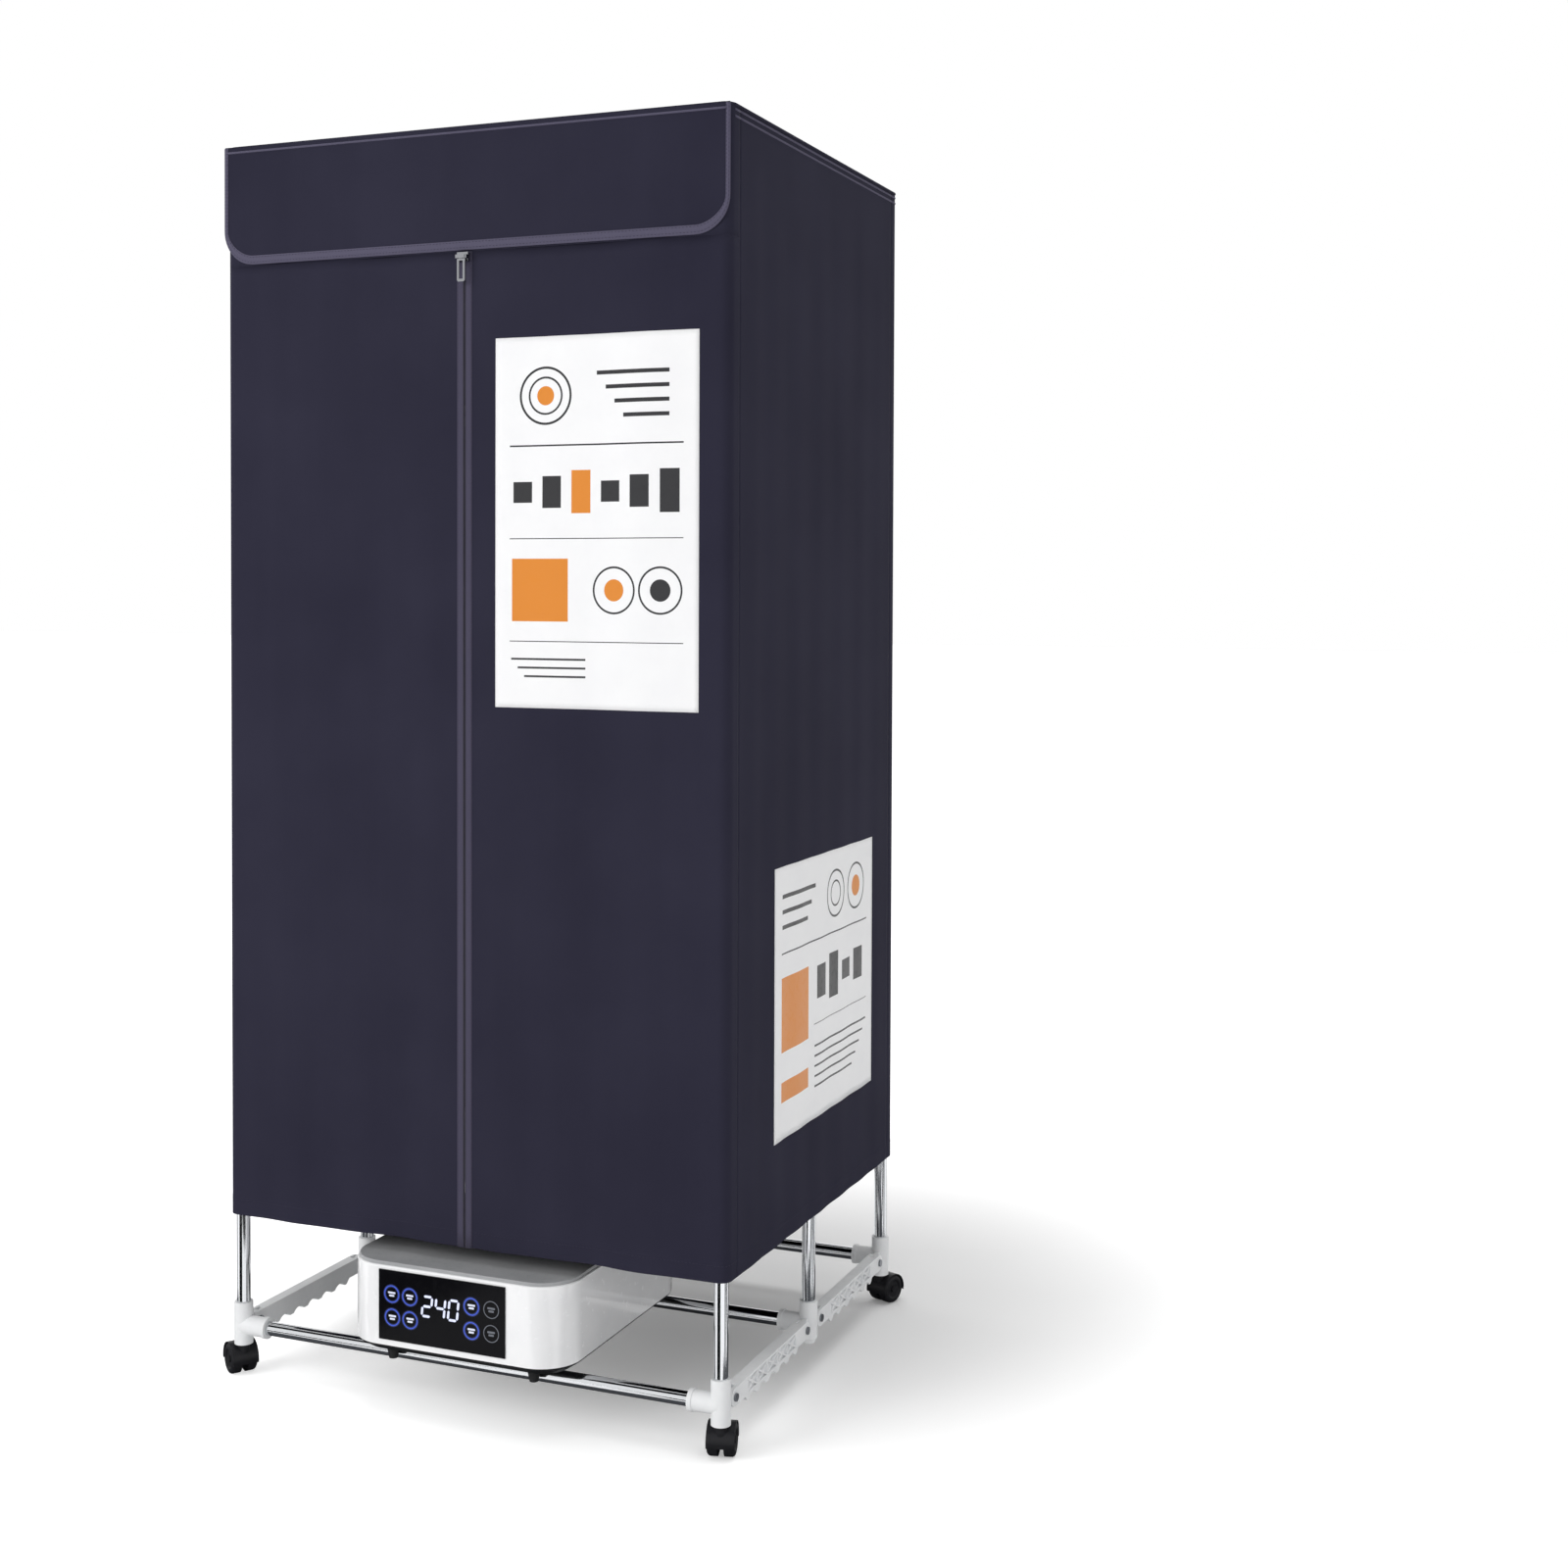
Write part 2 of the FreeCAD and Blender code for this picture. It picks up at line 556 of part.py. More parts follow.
# ---------------------------------------------------------------- folding arms
def make_arm(name, side, front_y, z):
    """Arm along +Y from its front pivot: notched below, crossed ribs on the outer face."""
    body = new_body(name)
    edge = "dims.arm_edge"
    thickness = "dims.arm_thickness"
    last_tooth = "%s - dims.notch_start" % ARM_LENGTH

    bar = new_sketch(body, name + "_bar", "YZ_Plane")
    draw_rectangle(bar, ("0", "0 - " + edge), (ARM_LENGTH, edge))
    add_feature(body, "Pad", bar, thickness, both_ways=True)
    ends = new_sketch(body, name + "_ends", "YZ_Plane")
    draw_circle(ends, ("0", "0"), edge)
    draw_circle(ends, (ARM_LENGTH, "0"), edge)
    add_feature(body, "Pad", ends, thickness, both_ways=True)
    comb = new_sketch(body, name + "_comb", "YZ_Plane")
    slope = "(dims.arm_comb - dims.arm_edge)"
    draw_polygon(comb, (
        ("dims.notch_start", "0 - dims.arm_comb"),
        (last_tooth, "0 - dims.arm_comb"),
        (last_tooth + " + " + slope, "0 - " + edge),
        (last_tooth, "0"),
        ("dims.notch_start", "0"),
        ("dims.notch_start - " + slope, "0 - " + edge),
    ))
    add_feature(body, "Pad", comb, thickness, both_ways=True)

    notch = new_sketch(body, name + "_notch", "YZ_Plane")
    centre = ("dims.notch_start + %s / 2" % NOTCH_PITCH,
              "dims.notch_depth - dims.arm_comb - dims.notch_radius")
    draw_circle(notch, centre, "dims.notch_radius")
    notch_cut = add_feature(body, "Pocket", notch, thickness + " + 2", both_ways=True)
    row_length = "(dims.notch_count - 1) * " + NOTCH_PITCH
    repeat(body, notch_cut, "Y_Axis", row_length, "dims.notch_count")

    lattice = new_sketch(body, name + "_lattice", "YZ_Plane", "dims.arm_thickness / 2")
    near = "dims.notch_start"
    middle = "(dims.notch_start + %s / 2)" % NOTCH_PITCH
    far = "(dims.notch_start + %s)" % NOTCH_PITCH
    top = "(dims.arm_edge - dims.lattice_rim)"
    rib = "dims.lattice_rib"
    draw_polygon(lattice, ((near + " + " + rib, top), (far + " - " + rib, top), (middle, rib + " / 2 + dims.lattice_web")))
    draw_polygon(lattice, ((near + " + " + rib, "0 - " + top), (middle, "0 - %s / 2 - dims.lattice_web" % rib),
                           (far + " - " + rib, "0 - " + top)))
    for start, way in ((near, 1), (far, -1)):
        rise = "(%s - %s / 2)" % (top, rib)
        rim_x = "%s + %d * %s / 2" % (start, way, rib)
        draw_polygon(lattice, ((rim_x, "0 - " + rise), (rim_x, rise), ("%s - %d * %s" % (middle, way, rib), "0")))
    lattice_cut = add_feature(body, "Pocket", lattice, "dims.lattice_depth")
    repeat(body, lattice_cut, "Y_Axis", row_length, "dims.notch_count")

    forks = new_sketch(body, name + "_forks", "YZ_Plane")
    reach = "(dims.arm_comb + 2)"
    draw_rectangle(forks, ("0 - " + reach, "0 - " + reach), ("dims.fork_depth", reach))
    draw_rectangle(forks, (ARM_LENGTH + " - dims.fork_depth", "0 - " + reach), (ARM_LENGTH + " + " + reach, reach))
    add_feature(body, "Pocket", forks, "dims.ear_thickness + 2 * dims.fork_gap", both_ways=True)
    holes = new_sketch(body, name + "_holes", "YZ_Plane")
    draw_circle(holes, ("0", "0"), "dims.pin_radius + dims.pin_gap")
    draw_circle(holes, (ARM_LENGTH, "0"), "dims.pin_radius + dims.pin_gap")
    add_feature(body, "Pocket", holes, thickness + " + 2", both_ways=True)

    if side > 0:
        return place(body, (side_x(side), front_y, z))
    turned = Rotation(Vector(0, 0, 1), 180)
    return place(body, (side_x(side), "%s + %s" % (front_y, ARM_LENGTH), z), turned)


for half, pivot_y in (("front", FRONT_Y + " + dims.ear_reach"), ("rear", "dims.ear_reach")):
    make_pair("lower_%s_arms" % half, make_arm, pivot_y, "dims.bottom_tube_z")
    make_pair("upper_%s_arms" % half, make_arm, pivot_y, "dims.hanging_rod_z")


# ---------------------------------------------------------------- fabric cover
def rounded_block(name, inset, low_z, height, corner):
    """Upright block with the cover's plan, drawn in by an inset."""
    x = "(%s - %s)" % (COVER_X, inset)
    y = "(%s - %s)" % (COVER_Y, inset)
    wide = box(name + "_wide", ("0 - " + x, "%s - %s" % (corner, y), low_z),
               ("2 * " + x, "2 * (%s - %s)" % (y, corner), height))
    deep = box(name + "_deep", ("%s - %s" % (corner, x), "0 - " + y, low_z),
               ("2 * (%s - %s)" % (x, corner), "2 * " + y, height))
    solids = [wide, deep]
    for index, (way_x, way_y) in enumerate(((-1, -1), (1, -1), (-1, 1), (1, 1))):
        at = ("%d * (%s - %s)" % (way_x, x, corner), "%d * (%s - %s)" % (way_y, y, corner), low_z)
        solids.append(rod("%s_corner_%d" % (name, index), corner, height, at))
    return union(name, solids)


def make_cover_walls(name):
    """All four walls of the cover as one rounded tube, cut into its sewn parts below."""
    height = "(%s - dims.hem_z)" % WALL_TOP_Z
    outside = rounded_block(name + "_outside", "0", "dims.hem_z", height, "dims.cover_corner")
    corner = "(dims.cover_corner - dims.cloth)"
    inside = rounded_block(name + "_inside", "dims.cloth", "dims.hem_z", height, corner)
    return difference(name, outside, [inside])


WALL_SPAN = "(%s - dims.hem_z)" % WALL_TOP_Z
BAND_SPAN = "(%s - %s)" % (WALL_TOP_Z, HEADER_LOW_Z)
STRIP_SPAN = "(%s - dims.hem_z)" % PANEL_TOP_Z
SIDE_HALF = "(%s - dims.corner_return - dims.cover_gap)" % COVER_Y

header_zone = box("header_zone", ("0 - " + COVER_X, "0 - " + COVER_Y, HEADER_LOW_Z),
                  ("2 * " + COVER_X, "dims.corner_return", BAND_SPAN))
keep("cover_header", overlap("cover_header", make_cover_walls("header_walls"), header_zone))

corners = []
for side_name, side in SIDES:
    strip = "(%s - %s - dims.cover_gap / 2)" % (COVER_X, PANEL_EDGE_X)
    low_x = "%s - %s" % (COVER_X, strip) if side > 0 else "0 - " + COVER_X
    zone = box("corner_zone_" + side_name, (low_x, "0 - " + COVER_Y, "dims.hem_z"),
               (strip, "dims.corner_return", STRIP_SPAN))
    corners.append(overlap("front_corner_" + side_name, make_cover_walls("corner_walls_" + side_name), zone))
keep("front_corners", group("front_corners", corners))

rear_zone = box("rear_zone", ("0 - " + COVER_X, "%s - dims.corner_return" % COVER_Y, "dims.hem_z"),
                ("2 * " + COVER_X, "dims.corner_return", WALL_SPAN))
keep("cover_rear", overlap("cover_rear", make_cover_walls("rear_walls"), rear_zone))

for side_name, side in SIDES:
    low_x = "%s - dims.cloth" % COVER_X if side > 0 else "0 - " + COVER_X
    panel = box("side_panel_" + side_name, (low_x, "0 - " + SIDE_HALF, "dims.hem_z"),
                ("dims.cloth", "2 * " + SIDE_HALF, WALL_SPAN))
    keep("cover_side_" + side_name, panel)

keep("cover_top", rounded_block("cover_top", "0", WALL_TOP_Z, "dims.cloth", "dims.cover_corner"))

for side_name, side in SIDES:
    width = "(%s - dims.zip_gap - dims.cover_gap / 2)" % PANEL_EDGE_X
    low_x = "dims.zip_gap" if side > 0 else "0 - dims.zip_gap - " + width
    panel = box("front_half_" + side_name, (low_x, "0 - " + COVER_Y, "dims.hem_z"),
                (width, "dims.cloth", STRIP_SPAN))
    keep("cover_front_" + side_name, panel)
    tape_x = "dims.zip_gap" if side > 0 else "0 - dims.zip_gap - dims.zip_tape_width"
    tape = box("tape_" + side_name, (tape_x, "0 - %s - dims.zip_tape_thickness" % COVER_Y, "dims.hem_z"),
               ("dims.zip_tape_width", "dims.zip_tape_thickness", STRIP_SPAN))
    keep("zip_tape_" + side_name, tape)

front_label = box("front_panel_print", ("dims.front_label_left", "0 - %s - dims.label_thickness" % COVER_Y,
                                        "dims.front_label_low"),
                  ("dims.front_label_width", "dims.label_thickness", "dims.front_label_height"))
keep("front_label", front_label)
side_label = box("side_panel_print", (COVER_X, "dims.side_label_front", "dims.side_label_low"),
                 ("dims.label_thickness", "dims.side_label_width", "dims.side_label_height"))
keep("side_label", side_label)


# flap over the top of the opening, hung from the cover's upper front edge
FLAP_BACK_Y = "(0 - %s - dims.cover_gap)" % COVER_Y
FLAP_TOP_Z = "(dims.cover_top_z + dims.cover_gap)"


def flap_outline(name, side_inset, bottom_inset, front_y, thickness, top_z):
    """Plate with two rounded lower corners."""
    half = "(%s - %s)" % (COVER_X, side_inset)
    low = "(dims.cover_top_z - dims.flap_height + %s)" % bottom_inset
    corner = "(dims.flap_corner - %s)" % side_inset
    upper = box(name + "_upper", ("0 - " + half, front_y, "%s + %s" % (low, corner)),
                ("2 * " + half, thickness, "%s - %s - %s" % (top_z, low, corner)))
    lower = box(name + "_lower", ("%s - %s" % (corner, half), front_y, low),
                ("2 * (%s - %s)" % (half, corner), thickness, "%s - %s" % (top_z, low)))
    solids = [upper, lower]
    for side_name, side in SIDES:
        at = ("%d * (%s - %s)" % (side, half, corner), front_y, "%s + %s" % (low, corner))
        solids.append(rod(name + "_corner_" + side_name, corner, thickness, at, "y"))
    return union(name, solids)


flap_y = "%s - dims.cloth" % FLAP_BACK_Y
binding_y = "%s - dims.binding_thickness" % flap_y
keep("front_flap", flap_outline("flap_cloth", "0", "0", flap_y, "dims.cloth", FLAP_TOP_Z))
binding_blank = flap_outline("binding_blank", "0", "0", binding_y, "dims.binding_thickness", FLAP_TOP_Z)
binding_hole = flap_outline("binding_hole", "dims.binding_side", "dims.binding_bottom", binding_y,
                            "dims.binding_thickness", FLAP_TOP_Z)
keep("flap_binding", difference("flap_binding", binding_blank, [binding_hole]))


# ---------------------------------------------------------------- zip slider and puller
TAPE_FRONT_Y = "(0 - %s - dims.zip_tape_thickness)" % COVER_Y
SLIDER_BACK_Y = "(%s - dims.cover_gap)" % TAPE_FRONT_Y
SLIDER_TOP_Z = "(%s - dims.slider_drop)" % PANEL_TOP_Z
PULLER_Z = "(%s - dims.slider_height / 2)" % SLIDER_TOP_Z
EYE_HALF = "(dims.puller_pivot_radius + dims.fit_gap + dims.puller_thickness / 2)"
PULLER_Y = "(%s - dims.slider_thickness - 1.5 * %s)" % (SLIDER_BACK_Y, EYE_HALF)

slider_low = ("0 - dims.slider_width / 2", "%s - dims.slider_thickness" % SLIDER_BACK_Y,
              "%s - dims.slider_height" % SLIDER_TOP_Z)
slider_block = box("slider_block", slider_low, ("dims.slider_width", "dims.slider_thickness", "dims.slider_height"))
cheeks = []
cheek_reach = "(1.5 * %s + dims.puller_pivot_radius)" % EYE_HALF
for side_name, side in SIDES:
    gap = "(dims.puller_width / 2 + dims.cover_gap)"
    thick = "(dims.slider_width / 2 - %s)" % gap
    low_x = gap if side > 0 else "0 - dims.slider_width / 2"
    cheeks.append(box("slider_cheek_" + side_name,
                      (low_x, "%s - dims.slider_thickness - %s" % (SLIDER_BACK_Y, cheek_reach),
                       "%s - 2 * dims.puller_pivot_radius" % PULLER_Z),
                      (thick, cheek_reach, "4 * dims.puller_pivot_radius")))
pivot_wire = rod("slider_wire", "dims.puller_pivot_radius", "dims.slider_width",
                 ("0 - dims.slider_width / 2", PULLER_Y, PULLER_Z), "x")
keep("zip_slider", union("zip_slider", [slider_block, pivot_wire] + cheeks))

puller = new_body("puller_tag")
outline = new_sketch(puller, "puller_outline", "XZ_Plane")
draw_polygon(outline, (
    ("0 - dims.puller_width / 2", EYE_HALF),
    ("dims.puller_width / 2", EYE_HALF),
    ("dims.puller_width / 2", "dims.puller_bevel - dims.puller_length"),
    ("dims.puller_width / 2 - dims.puller_bevel", "0 - dims.puller_length"),
    ("dims.puller_bevel - dims.puller_width / 2", "0 - dims.puller_length"),
    ("0 - dims.puller_width / 2", "dims.puller_bevel - dims.puller_length"),
))
add_feature(puller, "Pad", outline, "2 * " + EYE_HALF, both_ways=True)
thinned = new_sketch(puller, "puller_thinned", "YZ_Plane")
half = "(dims.puller_thickness / 2)"
deep = "(%s + 1)" % EYE_HALF
for way in (-1, 1):
    draw_polygon(thinned, (
        ("%d * %s" % (way, half), "0 - %s - 1" % EYE_HALF),
        ("%d * %s" % (way, deep), "0 - %s + 0.5" % EYE_HALF),
        ("%d * %s" % (way, deep), "0 - dims.puller_length - 1"),
        ("%d * %s" % (way, half), "0 - dims.puller_length - 1"),
    ))
add_feature(puller, "Pocket", thinned, "dims.puller_width + 2", both_ways=True)
slot = new_sketch(puller, "puller_slot", "XZ_Plane")
draw_rectangle(slot, ("0 - dims.puller_slot / 2", "dims.puller_end - dims.puller_length"),
               ("dims.puller_slot / 2", "0 - %s - dims.puller_end" % EYE_HALF))
add_feature(puller, "Pocket", slot, "4 * " + EYE_HALF, both_ways=True)
wire_hole = new_sketch(puller, "puller_wire_hole", "YZ_Plane")
draw_circle(wire_hole, ("0", "0"), "dims.puller_pivot_radius + dims.fit_gap")
add_feature(puller, "Pocket", wire_hole, "dims.puller_width + 2", both_ways=True)
keep("zip_puller", place(puller, ("0", PULLER_Y, PULLER_Z)))


# ---------------------------------------------------------------- casters
AXLE_Z = "dims.wheel_radius"
HOOD_RADIUS = "(dims.wheel_radius + dims.hood_gap + dims.hood_wall)"
WELL_RADIUS = "(dims.wheel_radius + dims.hood_gap)"
BOSS_TOP_Z = "(%s - dims.caster_gap)" % CONNECTOR_BOTTOM_Z


def make_hood(name):
    """Swivel hood over both wheels with its stem on the local Z axis; the axle trails along +Y."""
    width = "(2 * dims.wheel_outer)"
    axle = ("0 - dims.wheel_outer", "dims.caster_trail", AXLE_Z)
    shell = rod(name + "_shell", HOOD_RADIUS, width, axle, "x")
    boss_low = "(%s + dims.wheel_radius / 2)" % AXLE_Z
    boss = rod(name + "_boss", "dims.boss_radius", "%s - %s" % (BOSS_TOP_Z, boss_low), ("0", "0", boss_low))
    stem = rod(name + "_stem", "dims.stem_radius", "dims.stem_length", ("0", "0", BOSS_TOP_Z))
    wells = []
    for side_name, side in SIDES:
        inner = "(dims.wheel_inner - dims.hood_gap)"
        low_x = inner if side > 0 else "0 - dims.wheel_outer - 1"
        reach = "(dims.wheel_outer + 1 - %s)" % inner
        wells.append(rod(name + "_well_" + side_name, WELL_RADIUS, reach, (low_x, "dims.caster_trail", AXLE_Z), "x"))
    span = "(2 * %s + 2)" % HOOD_RADIUS
    open_foot = box(name + "_open_foot",
                    ("0 - dims.wheel_outer - 1", "dims.caster_trail - %s / 2" % span, "0 - 5"),
                    (width + " + 2", span, "%s - dims.hood_skirt + 5" % AXLE_Z))
    bore = rod(name + "_axle_bore", "dims.axle_radius + dims.fit_gap", width, axle, "x")
    return difference(name, union(name + "_blank", [shell, boss, stem]), wells + [open_foot, bore])


def make_wheel(name, side):
    """One of the twin wheels, turned about the axle, with a dished outer face."""
    body = new_body(name)
    profile = new_sketch(body, name + "_profile", "XZ_Plane")
    bore = "dims.axle_radius + dims.fit_gap"
    inner = "%d * dims.wheel_inner" % side
    outer = "%d * dims.wheel_outer" % side
    floor = "%d * (dims.wheel_outer - dims.wheel_dish)" % side
    shoulder = []
    for turn in (0, 22.5, 45, 67.5, 90):
        across = "%d * (dims.wheel_outer - dims.wheel_edge * (1 - sin(%s)))" % (side, turn)
        shoulder.append((across, "dims.wheel_radius - dims.wheel_edge * (1 - cos(%s))" % turn))
    draw_polygon(profile, (
        (inner, bore),
        (inner, "dims.wheel_radius"),
        *shoulder,
        (outer, "dims.wheel_dish_radius"),
        (floor, "dims.wheel_dish_radius - dims.wheel_dish"),
        (floor, "dims.wheel_hub_radius"),
        (outer, "dims.wheel_hub_radius - dims.wheel_hub_draft"),
        (outer, bore),
    ))
    turned = body.newObject("PartDesign::Revolution", name + "_turned")
    turned.Profile = profile
    turned.ReferenceAxis = (profile, ["H_Axis"])
    turned.Angle = 360
    return place(body, ("0", "dims.caster_trail", AXLE_Z))


def make_caster(corner, side, y, heading):
    """One caster under a post; heading turns its trail about the post, in degrees."""
    hood = make_hood("hood_" + corner)
    wheels = [make_wheel("wheel_%s_%s" % (corner, name), way) for name, way in SIDES]
    wheels.append(rod("axle_" + corner, "dims.axle_radius", "2 * dims.wheel_outer",
                      ("0 - dims.wheel_outer", "dims.caster_trail", AXLE_Z), "x"))
    at = (side_x(side), y, "0")
    swivel = Rotation(Vector(0, 0, 1), heading)
    keep("caster_hood_" + corner, place(hood, at, swivel))
    keep("caster_wheels_" + corner, place(group("wheels_" + corner, wheels), at, swivel))


CASTERS = (
    ("front_left", -1, FRONT_Y, 55),
    ("front_right", 1, FRONT_Y, 15),
    ("rear_left", -1, REAR_Y, 160),
    ("rear_right", 1, REAR_Y, -20),
)
for corner, side, caster_y, heading in CASTERS:
    make_caster(corner, side, caster_y, heading)


# ---------------------------------------------------------------- warm-air unit
HALF_UNIT = "(dims.unit_width / 2)"
FAN_CENTRE = ("0", "dims.outlet_y")

housing = rounded_slab("housing", ("0 - " + HALF_UNIT, UNIT_FRONT_Y), (HALF_UNIT, UNIT_BACK_Y),
                       HOUSING_Z, "dims.unit_height", "dims.unit_corner")
round_edges(housing, "Fillet", "dims.unit_edge", lies_at(number(PLATE_Z)))
inner_half = "(%s - dims.unit_wall)" % HALF_UNIT
hollow = rounded_slab("housing_hollow", ("0 - " + inner_half, UNIT_FRONT_Y + " + dims.unit_wall"),
                      (inner_half, UNIT_BACK_Y + " - dims.unit_wall"), HOUSING_Z, "dims.unit_height - dims.unit_wall",
                      "dims.unit_corner - dims.unit_wall")
outlet_hole = rod("housing_outlet", "dims.outlet_radius", "dims.unit_height", FAN_CENTRE + (HOUSING_Z,))
INLET_Z = "(%s + dims.inlet_low)" % HOUSING_Z
inlet_hole = box("housing_inlet",
                 ("dims.inlet_x - dims.inlet_width / 2", UNIT_BACK_Y + " - 2 * dims.unit_wall", INLET_Z),
                 ("dims.inlet_width", "3 * dims.unit_wall", "dims.inlet_height"))
keep("unit_housing", difference("unit_housing", housing, [hollow, outlet_hole, inlet_hole]))

plate_half = "(%s - dims.plate_inset)" % HALF_UNIT
plate = rounded_slab("plate", ("0 - " + plate_half, UNIT_FRONT_Y + " + dims.plate_inset"),
                     (plate_half, UNIT_BACK_Y + " - dims.plate_inset"), PLATE_Z, "dims.plate_thickness",
                     "dims.unit_corner - dims.plate_inset")
round_edges(plate, "Fillet", "dims.plate_thickness / 4", lies_at(number(PLATE_Z + " + dims.plate_thickness")))
plate_hole = new_sketch(plate, "plate_outlet", "XY_Plane", PLATE_Z + " + dims.plate_thickness")
draw_circle(plate_hole, FAN_CENTRE, "dims.outlet_radius")
add_feature(plate, "Pocket", plate_hole, "2 * dims.plate_thickness")
keep("unit_top_plate", plate)

base_half = "(%s - dims.base_inset)" % HALF_UNIT
base = rounded_slab("base", ("0 - " + base_half, UNIT_FRONT_Y + " + dims.base_inset"),
                    (base_half, UNIT_BACK_Y + " - dims.base_inset"), BASE_Z, "dims.base_height",
                    "dims.unit_corner - dims.base_inset")
slope = round_edges(base, "Chamfer", "dims.base_slope", lies_at(number(BASE_Z)))
slope.ChamferType = "Two distances"
slope.setExpression("Size2", "dims.base_taper")
vents = new_sketch(base, "base_vents", "XY_Plane", BASE_Z)
vent_start = "dims.outlet_y - dims.grille_pitch * (dims.grille_bars - 1) / 2"
vent_end = vent_start + " + dims.grille_bar"
vent_inner = "(dims.motor_radius + dims.duct_wall)"
draw_rectangle(vents, ("0 - dims.fan_radius", vent_start), ("0 - " + vent_inner, vent_end))
draw_rectangle(vents, (vent_inner, vent_start), ("dims.fan_radius", vent_end))
vent_cut = add_feature(base, "Pocket", vents, "2 * dims.base_height", both_ways=True)
repeat(base, vent_cut, "Y_Axis", "dims.grille_pitch * (dims.grille_bars - 1)", "dims.grille_bars")
keep("unit_base", base)

feet = []
for side_name, side in SIDES:
    for end, foot_y in (("front", FRONT_Y), ("rear", "dims.tube_radius - dims.foot_overhang - dims.foot_radius")):
        at = ("%d * dims.foot_spread" % side, foot_y, FOOT_Z)
        feet.append(rod("foot_%s_%s" % (end, side_name), "dims.foot_radius", "dims.foot_height", at))
    stop = doc.addObject("Part::Cone", "stop_" + side_name)
    stop.setExpression("Radius1", "dims.stop_radius")
    stop.setExpression("Radius2", "dims.stop_flare")
    stop.setExpression("Height", "dims.stop_drop")
    stop_y = "%s - dims.tube_radius - dims.stop_gap - dims.stop_flare" % FRONT_Y
    feet.append(place(stop, ("%d * dims.stop_spread" % side, stop_y, BASE_Z + " - dims.stop_drop")))
keep("unit_feet", group("unit_feet", feet))

display = box("display_panel", ("dims.display_left", UNIT_FRONT_Y + " - dims.display_thickness",
                                HOUSING_Z + " + dims.display_low"),
              ("dims.display_width", "dims.display_thickness", "dims.display_height"))
keep("control_display", display)

# round duct from the base up to the outlet, with the ledge that carries the heater
duct_height = "(dims.unit_height - dims.unit_wall)"
duct_outside = rod("duct_outside", "dims.outlet_radius + dims.duct_wall", duct_height, FAN_CENTRE + (HOUSING_Z,))
duct_below = rod("duct_below", "dims.outlet_radius", "%s - %s - dims.duct_wall" % (HEATER_Z, HOUSING_Z),
                 FAN_CENTRE + (HOUSING_Z,))
duct_throat = rod("duct_throat", "dims.outlet_radius - dims.duct_ledge", duct_height, FAN_CENTRE + (HOUSING_Z,))
duct_above = rod("duct_above", "dims.outlet_radius", "%s + %s - %s" % (HOUSING_Z, duct_height, HEATER_Z),
                 FAN_CENTRE + (HEATER_Z,))
keep("fan_duct", difference("fan_duct", duct_outside, [duct_below, duct_throat, duct_above]))

# heater: a ring crossed by flat fins, seated on the duct's ledge
heater_radius = "(dims.outlet_radius - dims.fit_gap * 3)"
heater_disc = rod("heater_disc", heater_radius, "dims.heater_height", FAN_CENTRE + (HEATER_Z,))
heater_core = rod("heater_core", heater_radius + " - dims.heater_fin", "dims.heater_height", FAN_CENTRE + (HEATER_Z,))
heater_ring = difference("heater_ring", heater_disc, [heater_core])
fin_disc = rod("fin_disc", heater_radius + " - dims.heater_fin / 2", "dims.heater_height", FAN_CENTRE + (HEATER_Z,))
fins = []
for index in range(int(number("dims.heater_fins"))):
    offset = "dims.heater_pitch * (%d - (dims.heater_fins - 1) / 2)" % index
    fins.append(box("heater_fin_%d" % index,
                    ("0 - dims.outlet_radius", "dims.outlet_y - dims.heater_fin / 2 + " + offset, HEATER_Z),
                    ("2 * dims.outlet_radius", "dims.heater_fin", "dims.heater_height")))
fin_block = overlap("heater_fin_block", fin_disc, union("heater_fins_all", fins))
keep("heater", union("heater", [heater_ring, fin_block]))

motor_case = rod("motor_case", "dims.motor_radius", "dims.motor_height", FAN_CENTRE + (HOUSING_Z,))
motor_shaft = rod("motor_shaft", "dims.shaft_radius", "dims.shaft_length",
                  FAN_CENTRE + (HOUSING_Z + " + dims.motor_height",))
keep("fan_motor", union("fan_motor", [motor_case, motor_shaft]))

FAN_Z = "(%s + dims.motor_height + dims.fan_lift)" % HOUSING_Z
fan_hub = rod("fan_hub", "dims.fan_hub_radius", "dims.fan_height", FAN_CENTRE + (FAN_Z,))
blades = []
blade_count = int(number("dims.fan_blades"))
for index in range(blade_count):
    blade = box("fan_blade_%d" % index, FAN_CENTRE + (FAN_Z + " + dims.fan_height / 2",),
                ("dims.fan_radius", "dims.fan_height", "dims.blade_thickness"))
    spin = Rotation(Vector(0, 0, 1), 360.0 * index / blade_count)
    tilt = Rotation(Vector(1, 0, 0), number("dims.blade_pitch"))
    centred = FreeCAD.Placement(Vector(0, -number("dims.fan_height") / 2, 0), Rotation())
    turned = FreeCAD.Placement(Vector(), spin.multiply(tilt)).multiply(centred)
    blade.Placement = turned
    place(blade, ("%.6f" % turned.Base.x, "dims.outlet_y + %.6f" % turned.Base.y,
                  "%s + dims.fan_height / 2 + %.6f" % (FAN_Z, turned.Base.z)))
    blades.append(blade)
fan_bore = rod("fan_bore", "dims.shaft_radius + dims.fit_gap", "dims.fan_height", FAN_CENTRE + (FAN_Z,))
keep("fan_impeller", difference("fan_impeller", union("fan_blank", [fan_hub] + blades), [fan_bore]))

